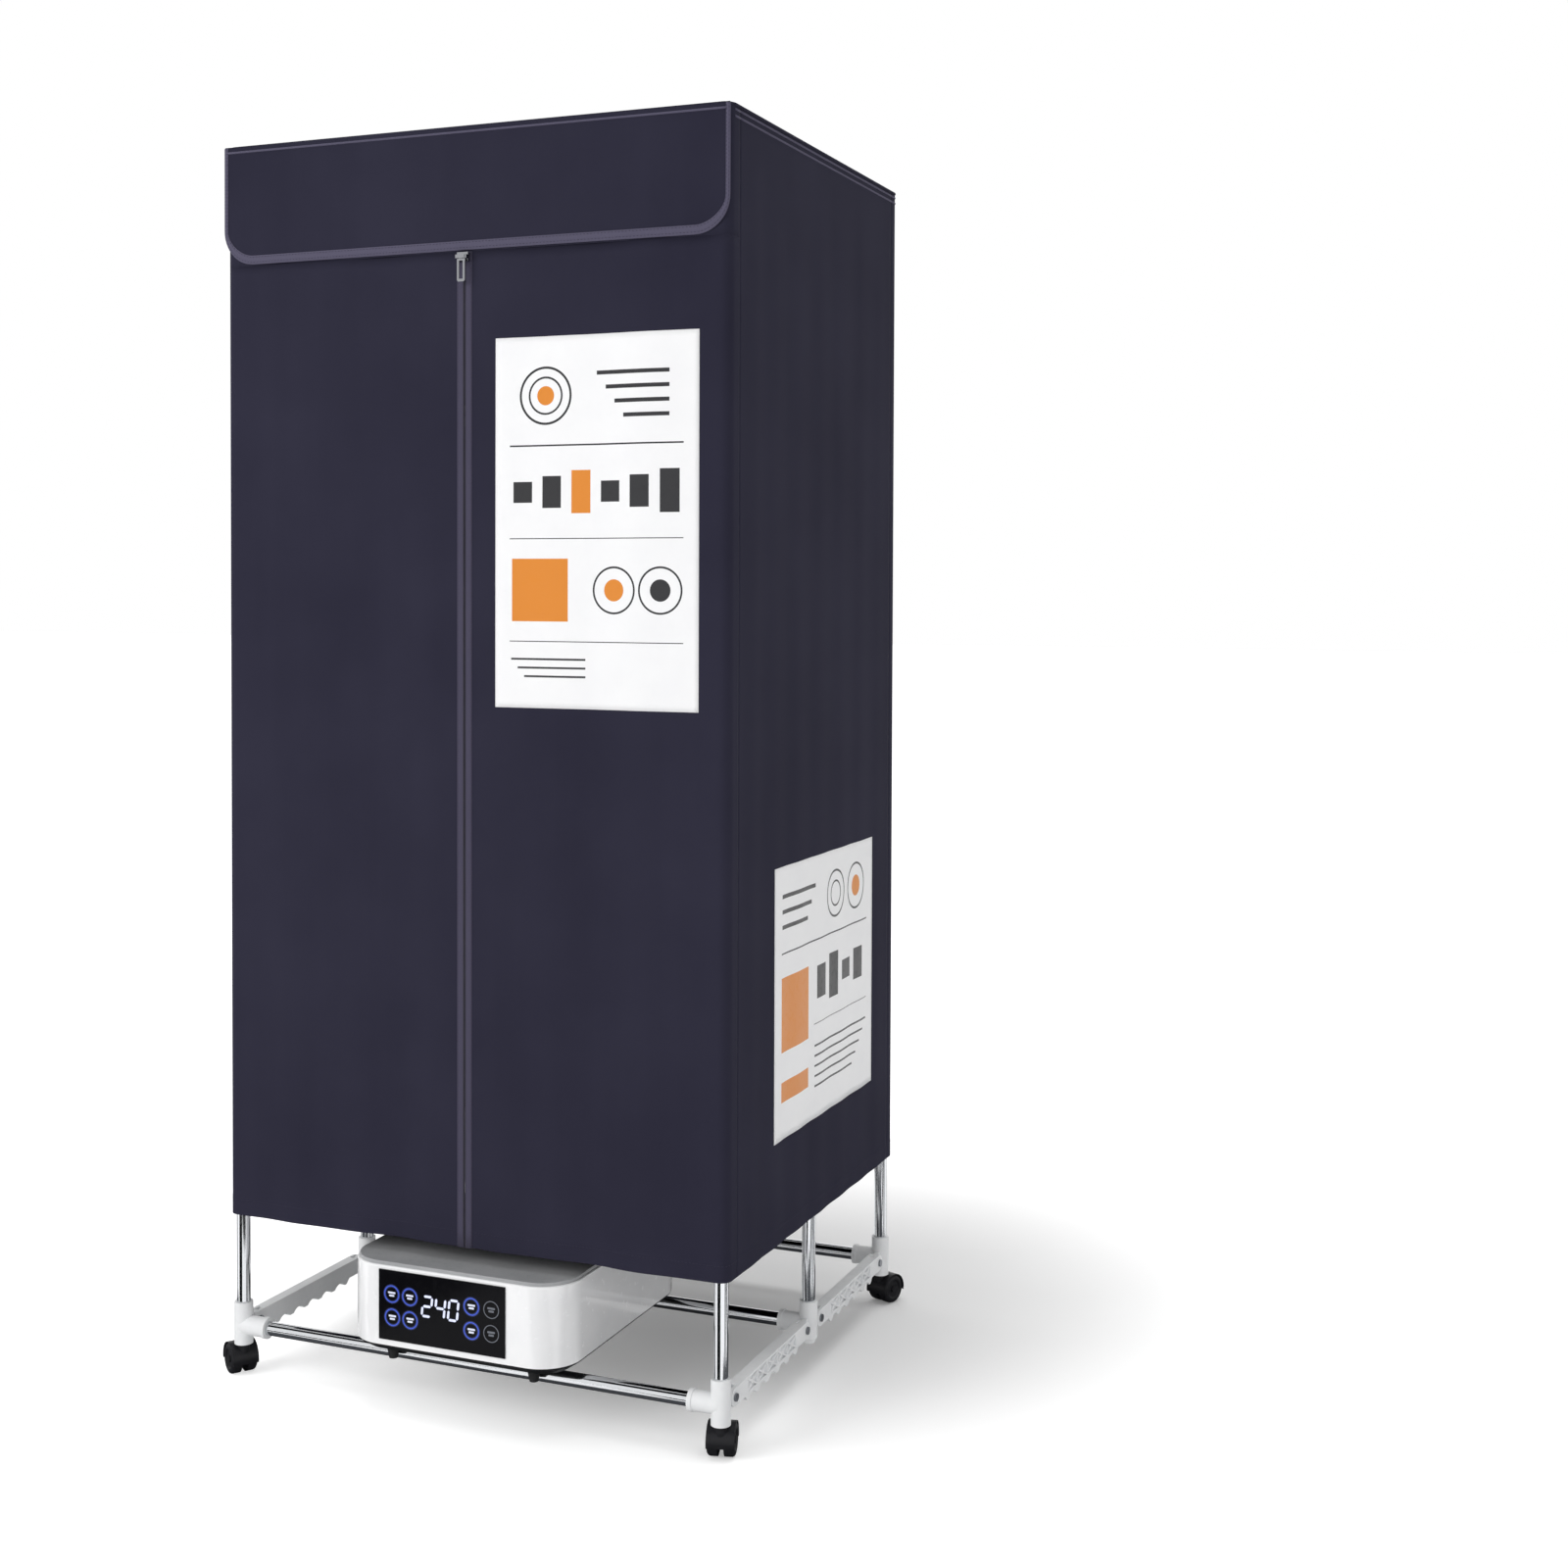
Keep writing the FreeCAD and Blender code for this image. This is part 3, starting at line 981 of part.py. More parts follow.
# outlet grille: a ring and straight bars set in the top plate
grille_radius = "(dims.outlet_radius - dims.fit_gap)"
GRILLE_Z = "(%s + dims.plate_thickness - dims.grille_thickness)" % PLATE_Z
grille_disc = rod("grille_disc", grille_radius, "dims.grille_thickness", FAN_CENTRE + (GRILLE_Z,))
grille_core = rod("grille_core", grille_radius + " - dims.grille_bar", "dims.grille_thickness", FAN_CENTRE + (GRILLE_Z,))
grille_ring = difference("grille_ring", grille_disc, [grille_core])
bar_disc = rod("bar_disc", grille_radius + " - dims.grille_bar / 2", "dims.grille_thickness", FAN_CENTRE + (GRILLE_Z,))
bars = []
for index in range(int(number("dims.grille_bars"))):
    offset = "dims.grille_pitch * (%d - (dims.grille_bars - 1) / 2)" % index
    bars.append(box("grille_bar_%d" % index,
                    ("dims.grille_bar / -2 + " + offset, "dims.outlet_y - dims.outlet_radius", GRILLE_Z),
                    ("dims.grille_bar", "2 * dims.outlet_radius", "dims.grille_thickness")))
bar_block = overlap("grille_bar_block", bar_disc, union("grille_bars_all", bars))
keep("outlet_grille", union("outlet_grille", [grille_ring, bar_block]))

# mains inlet in the back wall, a socket with two contact pins
inlet_half = "(dims.inlet_width / 2 - dims.fit_gap)"
inlet_back = "(%s - dims.inlet_depth)" % UNIT_BACK_Y
inlet_low = ("dims.inlet_x - " + inlet_half, inlet_back, INLET_Z + " + dims.fit_gap")
inlet_block = box("inlet_block", inlet_low,
                  ("2 * " + inlet_half, "dims.inlet_depth", "dims.inlet_height - 2 * dims.fit_gap"))
inlet_well = box("inlet_well",
                 ("dims.inlet_x - %s + dims.inlet_wall" % inlet_half, inlet_back + " + dims.inlet_floor",
                  INLET_Z + " + dims.fit_gap + dims.inlet_wall"),
                 ("2 * (%s - dims.inlet_wall)" % inlet_half, "dims.inlet_depth - dims.inlet_floor",
                  "dims.inlet_height - 2 * (dims.fit_gap + dims.inlet_wall)"))
inlet_shell = difference("inlet_shell", inlet_block, [inlet_well])
contact_root = "(%s + dims.inlet_floor / 2)" % inlet_back
contact_length = "dims.inlet_depth - dims.inlet_floor / 2 - dims.contact_drop"
contacts = []
for way in (-1, 1):
    contact_x = "dims.inlet_x + %d * dims.inlet_width / 6" % way
    contacts.append(rod("inlet_contact_%d" % (way + 1), "dims.contact_radius", contact_length,
                        (contact_x, contact_root, INLET_Z + " + dims.inlet_height / 2"), "y"))
keep("mains_inlet", union("mains_inlet", [inlet_shell] + contacts))

# ---------------------------------------------------------------- check and write
doc.recompute()
for item in doc.Objects:
    if "Invalid" in item.State or "Error" in item.State:
        raise RuntimeError("%s could not be built: %s" % (item.Name, item.State))
for node, item in parts.items():
    if item.Shape.isNull() or not item.Shape.isValid():
        raise RuntimeError("the shape of %s is not valid" % node)
for node, item in parts.items():
    item.Shape.exportStep("parts/%s.step" % node)
print("%d pieces" % len(parts))
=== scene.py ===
"""Looks of a folding clothes drying cabinet: sewn cover, chromed frame, casters, warm-air unit, studio."""

import math

import bpy
from bpy.props import FloatProperty, FloatVectorProperty, IntProperty, PointerProperty
from bpy.types import Operator, Panel, PropertyGroup
from mathutils import Matrix, Vector, noise


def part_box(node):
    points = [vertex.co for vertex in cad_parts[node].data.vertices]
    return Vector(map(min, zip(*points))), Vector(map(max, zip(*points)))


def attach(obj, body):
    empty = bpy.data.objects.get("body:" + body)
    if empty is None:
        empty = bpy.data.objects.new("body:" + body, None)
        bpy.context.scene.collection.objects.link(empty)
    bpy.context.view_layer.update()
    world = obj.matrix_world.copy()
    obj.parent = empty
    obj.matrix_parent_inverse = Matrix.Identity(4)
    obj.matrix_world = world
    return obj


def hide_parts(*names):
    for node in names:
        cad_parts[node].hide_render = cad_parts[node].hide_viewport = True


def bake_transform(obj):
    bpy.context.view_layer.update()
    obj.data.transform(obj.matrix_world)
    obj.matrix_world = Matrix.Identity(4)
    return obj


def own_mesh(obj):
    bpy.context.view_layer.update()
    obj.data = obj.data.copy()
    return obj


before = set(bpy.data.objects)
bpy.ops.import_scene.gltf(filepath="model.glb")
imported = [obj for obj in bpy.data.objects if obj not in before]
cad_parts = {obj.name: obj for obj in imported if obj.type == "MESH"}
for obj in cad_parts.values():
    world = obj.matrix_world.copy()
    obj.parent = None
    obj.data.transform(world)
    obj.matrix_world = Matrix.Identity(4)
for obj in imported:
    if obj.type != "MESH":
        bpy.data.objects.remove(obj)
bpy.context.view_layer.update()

bl_info = {
    "name": "Drying Cabinet",
    "version": (1, 0, 0),
    "blender": (4, 5, 0),
    "location": "3D View > Sidebar > Drying Cabinet",
    "description": "Cloth, metal, plastic and studio for the packed drying cabinet",
    "category": "Object",
}

LOOK = "look_"    # keeps these materials apart from the plain ones of the same names


def low(node):
    """Lowest corner of a CAD node."""
    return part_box(node)[0]


def high(node):
    """Highest corner of a CAD node."""
    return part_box(node)[1]


def linear(code):
    """A colour written as 0xRRGGBB, in the linear values that Blender's sockets take."""
    channels = [((code >> shift) & 255) / 255 for shift in (16, 8, 0)]
    return tuple(c / 12.92 if c <= 0.04045 else ((c + 0.055) / 1.055) ** 2.4 for c in channels)


# ------------------------------------------------------------------ places taken from the frame

SEAM_GAP = 0.00015
COVER_X = high("cover_rear").x
COVER_FRONT = low("cover_header").y
COVER_BACK = high("cover_rear").y
COVER_TOP = high("cover_top").z
WALL_TOP = high("cover_rear").z
HEM_Z = low("cover_rear").z
DOOR_TOP = high("cover_front_right").z
ZIP_EDGE = low("cover_front_right").x
HINGE_X = high("cover_front_right").x + SEAM_GAP
SIDE_FRONT = low("cover_side_right").y
SIDE_BACK = high("cover_side_right").y
COVER_CORNER = 0.012    # radius of the cover's upright corners
ZIP_FLAT = 0.012        # half of the strip that stays flat along the zip
SIDE_LAP = 0.0003       # how far a side reaches past its seams
STITCH_DROP = 0.004     # from the upper edge of a hem down to its stitches
TAPE_THREAD = 0.0006    # thread pitch of the woven tapes
PIPING_LEVELS = {"edge_piping": 0.0002, "upper_piping": 0.0055, "lower_piping": 0.0125}
SIDES = (("right", 1), ("left", -1))
FORWARD = Vector((0, -1, 0))
UP = Vector((0, 0, 1))
SEAM_Z = DOOR_TOP + SEAM_GAP
FRONT_MEASURE = COVER_X + (SIDE_FRONT - COVER_FRONT) - COVER_CORNER * (2 - math.pi / 2)


# ------------------------------------------------------------------ settings

def colour(name, description, code):
    """A colour property with its default written as 0xRRGGBB."""
    return FloatVectorProperty(name=name, description=description, subtype="COLOR", size=3,
                               min=0, max=1, default=linear(code))


def length(name, description, metres):
    """A length property in metres."""
    return FloatProperty(name=name, description=description, subtype="DISTANCE", unit="LENGTH",
                         min=0, precision=5, default=metres)


class ClothSettings(PropertyGroup):
    """Sizes and colours of the sewn cover."""
    face: colour("Cloth", "Dyed cover cloth", 0x272634)
    # The fleck colour is also the lighter end of the painted shading and sheen streaks in the cloth.
    fleck: colour("Fleck", "Lighter threads in the cloth", 0x343342)
    binding: colour("Binding", "Woven tape round the flap and along the top seams", 0x545163)
    tape: colour("Zip tape", "Woven tape that carries the zip", 0x464354)
    thickness: length("Thickness", "Thickness of the cover cloth", 0.0009)
    thread: length("Thread pitch", "Distance between neighbouring threads", 0.0007)
    fold_depth: length("Fold depth", "Depth of the hanging folds in the front and rear", 0.0022)
    pleat_depth: length("Pleat depth", "Depth of the crease lines in the sides", 0.0009)
    top_sag: length("Top sag", "How far the top hangs between the two frames", 0.007)
    hem_width: length("Hem width", "Turned-up lower edge", 0.022)
    hem_step: length("Hem step", "How far the turned-up edge stands out", 0.0002)
    stitch: length("Stitch", "Length of one stitch", 0.0028)
    stitch_pitch: length("Stitch pitch", "Distance from stitch to stitch", 0.0042)
    piping: length("Piping radius", "Radius of the cord in the top seams", 0.0018)


class FrameSettings(PropertyGroup):
    """Colours of the folding frame and the casters."""
    tube: colour("Tubes", "Chrome plating", 0xD9DBDE)
    moulding: colour("Mouldings", "White moulded connectors and arms", 0xF2F3F4)
    moulding_shade: colour("Moulding shade", "Slightly greyer flow marks in the mouldings", 0xE2E4E6)
    screw: colour("Screws", "Pivot screws", 0x8B8E93)
    caster: colour("Casters", "Black moulded hoods and wheels", 0x1A1A1D)
    tube_haze: FloatProperty(name="Tube haze", description="Roughness of the plating", subtype="FACTOR",
                             min=0, max=1, default=0.09)


class PrintSettings(PropertyGroup):
    """Colours of the two white panels."""
    paper: colour("Panel", "White printed panel", 0xF4F4F5)
    ink: colour("Ink", "Dark print", 0x1C1C20)
    accent: colour("Accent", "Coloured print", 0xDB8527)


class UnitSettings(PropertyGroup):
    """Sizes and colours of the warm-air unit."""
    shell: colour("Housing", "White glossy shell", 0xFAFAFB)
    plate: colour("Top plate", "Grey plate on the housing", 0xABACAE)
    trim: colour("Trim", "Black base and grille", 0x101113)
    glass: colour("Display", "Black display window", 0x0B0B0E)
    glow: colour("Glow", "Blue light of the keys", 0x3A58D2)
    digits: colour("Digits", "Light of the digits", 0xE6EBFF)
    idle: colour("Idle keys", "Keys that are off", 0x6C7079)
    key_radius: length("Key radius", "Outside of a key's ring", 0.0098)
    key_stroke: length("Key stroke", "Width of a key's ring", 0.0012)
    digit_height: length("Digit height", "Height of the digits", 0.0222)
    minutes: IntProperty(name="Minutes", description="Number on the display", default=240, min=0, max=999)


class StageSettings(PropertyGroup):
    """Floor, lamps and background."""
    floor: colour("Floor", "Plain pale floor", 0xF6F6F6)
    ambient: FloatProperty(name="Ambient", description="Level of the light from all round",
                           min=0, default=0.5)
    key: FloatProperty(name="Key lamp", description="Lamp to the front left",
                       unit="POWER", min=0, default=80)
    fill: FloatProperty(name="Fill lamp", description="Lamp to the front right",
                        unit="POWER", min=0, default=12)
    top: FloatProperty(name="Top lamp", description="Lamp overhead", unit="POWER", min=0, default=40)


# ------------------------------------------------------------------ shader helpers

def add_node(tree, kind, inputs=None, **settings):
    """A node with its settings made and its inputs set or linked."""
    node = tree.nodes.new(kind)
    for key, value in settings.items():
        setattr(node, key, value)
    for key, value in (inputs or {}).items():
        if isinstance(value, bpy.types.NodeSocket):
            tree.links.new(value, node.inputs[key])
        else:
            node.inputs[key].default_value = value
    return node


def calc(tree, operation, first, second=0.0, clamp=False):
    """The result of one Math node."""
    return add_node(tree, "ShaderNodeMath", {0: first, 1: second}, operation=operation,
                    use_clamp=clamp).outputs[0]


def mix_colour(tree, factor, first, second):
    """A colour between two others."""
    node = add_node(tree, "ShaderNodeMix", {0: factor, 6: first, 7: second}, data_type="RGBA")
    return node.outputs[2]


def speckle(tree, vector, scale, detail=2.0):
    """Plain noise from 0 to 1."""
    return add_node(tree, "ShaderNodeTexNoise",
                    {"Vector": vector, "Scale": scale, "Detail": detail}).outputs[0]


def spread_noise(tree, value, start, end):
    """The part of a noise between start and end, spread to 0 and 1."""
    return add_node(tree, "ShaderNodeMapRange",
                    {"Value": value, "From Min": start, "From Max": end}).outputs[0]


def new_group(name, inputs, outputs):
    """An empty shader node group with named sockets: its tree, its inputs and its output node."""
    tree = bpy.data.node_groups.new(name, "ShaderNodeTree")
    for label, kind, default in inputs:
        socket = tree.interface.new_socket(label, in_out="INPUT", socket_type="NodeSocket" + kind)
        if default is not None:
            socket.default_value = default
    for label, kind in outputs:
        tree.interface.new_socket(label, in_out="OUTPUT", socket_type="NodeSocket" + kind)
    return tree, tree.nodes.new("NodeGroupInput").outputs, tree.nodes.new("NodeGroupOutput")


def finish_group(tree, end, **results):
    """Links the group's results to its outputs."""
    for label, socket in results.items():
        tree.links.new(socket, end.inputs[label])
    return tree


def woven_cloth_group():
    """Plain weave with flecked threads, uneven dye and broad vertical streaks of painted shading and sheen.
    """
    tree, given, end = new_group(
        "Woven cloth",
        [("Place", "Vector", None), ("Thread", "Float", 0.0007), ("Colour", "Color", None),
         ("Fleck", "Color", None), ("Unevenness", "Float", 0.5)],
        [("Colour", "Color"), ("Roughness", "Float"), ("Height", "Float")])
    turns = calc(tree, "DIVIDE", math.tau / 2, given["Thread"])
    threads = add_node(tree, "ShaderNodeVectorMath", {0: given["Place"], "Scale": turns}, operation="SCALE")
    axes = add_node(tree, "ShaderNodeSeparateXYZ", {0: threads.outputs[0]})
    weave = calc(tree, "MULTIPLY", calc(tree, "SINE", axes.outputs[0]), calc(tree, "SINE", axes.outputs[1]))
    long = add_node(tree, "ShaderNodeVectorMath", {0: given["Place"], 1: (1.0, 0.05, 1.0)},
                    operation="MULTIPLY")
    # The broad streaks and clouds are partly uneven dye and partly painted shading and sheen: soft lighter
    # and darker vertical bands that pull the cloth towards its lighter fleck colour.
    streaks = spread_noise(tree, speckle(tree, long.outputs[0], 16.0, 3.0), 0.3, 0.75)
    clouds = spread_noise(tree, speckle(tree, given["Place"], 5.0, 3.0), 0.3, 0.7)
    flecks = speckle(tree, given["Place"], 900.0, 1.0)
    shade = calc(tree, "MULTIPLY", calc(tree, "ADD", calc(tree, "MULTIPLY", streaks, 0.55), clouds),
                 given["Unevenness"])
    light = calc(tree, "ADD", calc(tree, "MULTIPLY", flecks, 0.35), calc(tree, "MULTIPLY", shade, 0.5),
                 clamp=True)
    return finish_group(
        tree, end,
        Colour=mix_colour(tree, light, given["Colour"], given["Fleck"]),
        Roughness=calc(tree, "ADD", calc(tree, "MULTIPLY", flecks, 0.18), 0.62),
        Height=calc(tree, "ADD", calc(tree, "MULTIPLY", weave, 0.5), calc(tree, "MULTIPLY", flecks, 0.5)))


def moulded_group():
    """Moulded plastic: flow marks, a fine sparked grain and slight handling marks."""
    tree, given, end = new_group(
        "Moulded plastic",
        [("Place", "Vector", None), ("Colour", "Color", None), ("Shade", "Color", None),
         ("Gloss", "Float", 0.4), ("Grain", "Float", 900.0)],
        [("Colour", "Color"), ("Roughness", "Float"), ("Height", "Float")])
    flow = spread_noise(tree, speckle(tree, given["Place"], 22.0, 3.0), 0.35, 0.75)
    marks = spread_noise(tree, speckle(tree, given["Place"], 140.0, 4.0), 0.52, 0.72)
    grain = speckle(tree, given["Place"], given["Grain"], 2.0)
    tone = calc(tree, "ADD", calc(tree, "MULTIPLY", flow, 0.6), calc(tree, "MULTIPLY", marks, 0.15),
                clamp=True)
    rough = calc(tree, "ADD", given["Gloss"], calc(tree, "MULTIPLY", marks, 0.12))
    return finish_group(
        tree, end,
        Colour=mix_colour(tree, tone, given["Colour"], given["Shade"]),
        Roughness=calc(tree, "ADD", rough, calc(tree, "MULTIPLY", grain, 0.06)),
        Height=grain)


def polished_group():
    """Plated or polished metal: haze, fine polishing lines and a few dull spots."""
    tree, given, end = new_group(
        "Polished metal",
        [("Place", "Vector", None), ("Colour", "Color", None), ("Haze", "Float", 0.1),
         ("Dullness", "Float", 0.2)],
        [("Colour", "Color"), ("Roughness", "Float"), ("Height", "Float")])
    stretched = add_node(tree, "ShaderNodeVectorMath", {0: given["Place"], 1: (1.0, 1.0, 0.06)},
                         operation="MULTIPLY")
    lines = speckle(tree, stretched.outputs[0], 1400.0, 2.0)
    spots = spread_noise(tree, speckle(tree, given["Place"], 60.0, 5.0), 0.58, 0.75)
    dull = calc(tree, "MULTIPLY", spots, given["Dullness"])
    darker = add_node(tree, "ShaderNodeVectorMath", {0: given["Colour"], "Scale": 0.82},
                      operation="SCALE").outputs[0]
    rough = calc(tree, "ADD", given["Haze"], calc(tree, "MULTIPLY", lines, 0.05))
    return finish_group(
        tree, end,
        Colour=mix_colour(tree, dull, given["Colour"], darker),
        Roughness=calc(tree, "ADD", rough, calc(tree, "MULTIPLY", dull, 0.3)),
        Height=lines)


def printed_bar_group():
    """A printed rectangle: 1 inside it and 0 outside."""
    tree, given, end = new_group(
        "Printed bar",
        [("Place", "Vector", None), ("Across", "Float", 0.0), ("Up", "Float", 0.0),
         ("Half Width", "Float", 0.01), ("Half Height", "Float", 0.01)],
        [("Mask", "Float")])
    axes = add_node(tree, "ShaderNodeSeparateXYZ", {0: given["Place"]})
    inside = []
    for k, middle, half in ((0, "Across", "Half Width"), (1, "Up", "Half Height")):
        away = calc(tree, "ABSOLUTE", calc(tree, "SUBTRACT", axes.outputs[k], given[middle]))
        inside.append(calc(tree, "LESS_THAN", away, given[half]))
    return finish_group(tree, end, Mask=calc(tree, "MULTIPLY", *inside))


def printed_ring_group():
    """A printed ring, or a disc where its stroke is as wide as its radius."""
    tree, given, end = new_group(
        "Printed ring",
        [("Place", "Vector", None), ("Across", "Float", 0.0), ("Up", "Float", 0.0),
         ("Radius", "Float", 0.01), ("Stroke", "Float", 0.002)],
        [("Mask", "Float")])
    middle = add_node(tree, "ShaderNodeCombineXYZ", {0: given["Across"], 1: given["Up"]})
    flat = add_node(tree, "ShaderNodeVectorMath", {0: given["Place"], 1: (1.0, 1.0, 0.0)},
                    operation="MULTIPLY")
    away = add_node(tree, "ShaderNodeVectorMath", {0: flat.outputs[0], 1: middle.outputs[0]},
                    operation="DISTANCE")
    outside = calc(tree, "LESS_THAN", away.outputs["Value"], given["Radius"])
    inside = calc(tree, "GREATER_THAN", away.outputs["Value"],
                  calc(tree, "SUBTRACT", given["Radius"], given["Stroke"]))
    return finish_group(tree, end, Mask=calc(tree, "MULTIPLY", outside, inside))


GROUPS = {
    "Woven cloth": woven_cloth_group,
    "Moulded plastic": moulded_group,
    "Polished metal": polished_group,
    "Printed bar": printed_bar_group,
    "Printed ring": printed_ring_group,
}


def use_group(tree, name, **inputs):
    """Places a shared node group in a material, built the first time it is asked for."""
    group = bpy.data.node_groups.get(name) or GROUPS[name]()
    return add_node(tree, "ShaderNodeGroup", {k.replace("_", " "): v for k, v in inputs.items()},
                    node_tree=group)


def new_material(name, **values):
    """A material with its shader's own plain values set: the material, its tree and its shader."""
    material = bpy.data.materials.new(LOOK + name)
    material.use_nodes = True
    tree = material.node_tree
    shader = tree.nodes["Principled BSDF"]
    for key, value in values.items():
        shader.inputs[key.replace("_", " ")].default_value = value
    return material, tree, shader


def made_once(make):
    """Returns the material of that name where it is there already, and else makes it."""
    def ask(name, *values, **settings):
        return bpy.data.materials.get(LOOK + name) or make(name, *values, **settings)
    return ask


def wear(tree, shader, finish, depth, strength=0.2):
    """Links a group's colour, roughness and height to the material's shader."""
    tree.links.new(finish.outputs["Colour"], shader.inputs["Base Color"])
    tree.links.new(finish.outputs["Roughness"], shader.inputs["Roughness"])
    bump = add_node(tree, "ShaderNodeBump",
                    {"Strength": strength, "Distance": depth, "Height": finish.outputs["Height"]})
    tree.links.new(bump.outputs[0], shader.inputs["Normal"])


def rgba(values):
    """A colour property as a socket's four numbers."""
    return (*values, 1.0)


def scaled(values, factor):
    """A colour made lighter or darker by a factor, held to 1."""
    return tuple(min(1.0, factor * c) for c in values)


@made_once
def cloth_material(name, face, fleck, thread, unevenness_and_shade, sheen=0.0):
    """Woven cloth, laid out along the piece's own cloth measure."""
    material, tree, shader = new_material(name, Sheen_Weight=sheen, Sheen_Roughness=0.45,
                                          Specular_IOR_Level=0.04)
    place = add_node(tree, "ShaderNodeUVMap", uv_map="cloth").outputs[0]
    finish = use_group(tree, "Woven cloth", Place=place, Thread=thread,
                       Colour=rgba(face), Fleck=rgba(fleck), Unevenness=unevenness_and_shade)
    wear(tree, shader, finish, depth=0.0002, strength=0.35)
    return material


@made_once
def plastic_material(name, face, shade, gloss, grain=900.0, depth=0.00004, coat=0.0, specular=0.5):
    """Moulded plastic."""
    material, tree, shader = new_material(name, Coat_Weight=coat, Coat_Roughness=0.06,
                                          Specular_IOR_Level=specular)
    place = add_node(tree, "ShaderNodeTexCoord").outputs["Object"]
    finish = use_group(tree, "Moulded plastic", Place=place, Colour=rgba(face),
                       Shade=rgba(shade), Gloss=gloss, Grain=grain)
    wear(tree, shader, finish, depth)
    return material


@made_once
def metal_material(name, face, haze, dullness=0.2):
    """Plated or polished metal."""
    material, tree, shader = new_material(name, Metallic=1.0)
    place = add_node(tree, "ShaderNodeTexCoord").outputs["Object"]
    finish = use_group(tree, "Polished metal", Place=place, Colour=rgba(face), Haze=haze, Dullness=dullness)
    wear(tree, shader, finish, depth=0.00001, strength=0.008)
    return material


@made_once
def glow_material(name, face, strength):
    """Light that shows through a dark window, a little uneven as a lit key is."""
    material, tree, shader = new_material(name, Roughness=0.4, Emission_Strength=strength)
    place = add_node(tree, "ShaderNodeTexCoord").outputs["Object"]
    uneven = spread_noise(tree, speckle(tree, place, 180.0), 0.2, 0.9)
    lit = mix_colour(tree, uneven, rgba(face), rgba(scaled(face, 0.75)))
    tree.links.new(lit, shader.inputs["Emission Color"])
    tree.links.new(mix_colour(tree, 0.8, lit, (0, 0, 0, 1)), shader.inputs["Base Color"])
    return material


def dress(nodes, material):
    """Gives CAD nodes a material."""
    for name in nodes:
        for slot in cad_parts[name].material_slots:
            slot.material = material


# ------------------------------------------------------------------ mesh helpers

def smooth(t):
    """0 to 1 with soft ends."""
    t = min(1.0, max(0.0, t))
    return t * t * (3 - 2 * t)


def new_piece(name, points, faces, measures, material, soft=True):
    """A mesh object with a cloth measure for each point, in metres."""
    mesh = bpy.data.meshes.new(name)
    mesh.from_pydata([tuple(p) for p in points], [], faces)
    layer = mesh.uv_layers.new(name="cloth")
    for loop in mesh.loops:
        layer.data[loop.index].uv = measures[loop.vertex_index]
    mesh.polygons.foreach_set("use_smooth", [soft] * len(mesh.polygons))
    mesh.materials.append(material)
    mesh.update()
    piece = bpy.data.objects.new(name, mesh)
    bpy.context.scene.collection.objects.link(piece)
    return piece


def grid_faces(across, up):
    """Faces of a grid of points that is stored row by row."""
    return [(j * across + i, j * across + i + 1, (j + 1) * across + i + 1, (j + 1) * across + i)
            for j in range(up - 1) for i in range(across - 1)]


def steps(start, end, spacing):
    """Evenly spaced values from start to end, both included."""
    count = max(1, math.ceil(abs(end - start) / spacing))
    return [start + (end - start) * k / count for k in range(count + 1)]


def wall_heights(bottom, top, hem, spacing=0.012):
    """Heights for a hanging wall: close at the turned-up hem and even above it."""
    edge = bottom + hem
    return (steps(bottom, bottom + 0.001, 0.0005) + steps(edge - 0.0015, edge + 0.0015, 0.001)
            + steps(edge + 0.004, top, spacing))


def wall_path(corners, radius, spacing=0.004, start=0.0):
    """Points in plan along runs with rounded square corners: x, y, outward normal x and y, distance."""
    corners = [Vector(c) for c in corners]
    points, travelled = [], start

    def add(x, y, nx, ny):
        nonlocal travelled
        if points:
            moved = math.hypot(x - points[-1][0], y - points[-1][1])
            if moved < 1e-7:
                return
            travelled += moved
        points.append((x, y, nx, ny, travelled))

    for k in range(len(corners) - 1):
        run = (corners[k + 1] - corners[k]).normalized()
        start = corners[k] + (run * radius if k else Vector((0, 0)))
        end = corners[k + 1] - (run * radius if k < len(corners) - 2 else Vector((0, 0)))
        for share in steps(0.0, 1.0, spacing / max((end - start).length, spacing)):
            spot = start.lerp(end, share)
            add(spot.x, spot.y, run.y, -run.x)
        if k < len(corners) - 2:
            turn = (corners[k + 2] - corners[k + 1]).normalized()
            centre = corners[k + 1] - run * radius + turn * radius
            for share in steps(0.0, 1.0, 0.125):
                angle = share * math.pi / 2
                normal = -turn * math.cos(angle) + run * math.sin(angle)
                add(centre.x + radius * normal.x, centre.y + radius * normal.y, normal.x, normal.y)
    return points


def hang_cloth(name, path, heights, relief, material, thickness):
    """A sheet that stands on a plan path, moved outward by relief(x, y, z)."""
    points, measures = [], []
    for z in heights:
        for x, y, nx, ny, along in path:
            out = relief(x, y, z)
            points.append((x + nx * out, y + ny * out, z))
            measures.append((along, z))
    piece = new_piece(name, points, grid_faces(len(path), len(heights)), measures, material)
    thicken(piece, thickness)
    return piece


def thicken(piece, thickness):
    """Gives a sheet its thickness, on the side away from its normals."""
    layer = piece.modifiers.new("cloth thickness", "SOLIDIFY")
    layer.thickness = thickness
    layer.offset = -1
    return piece


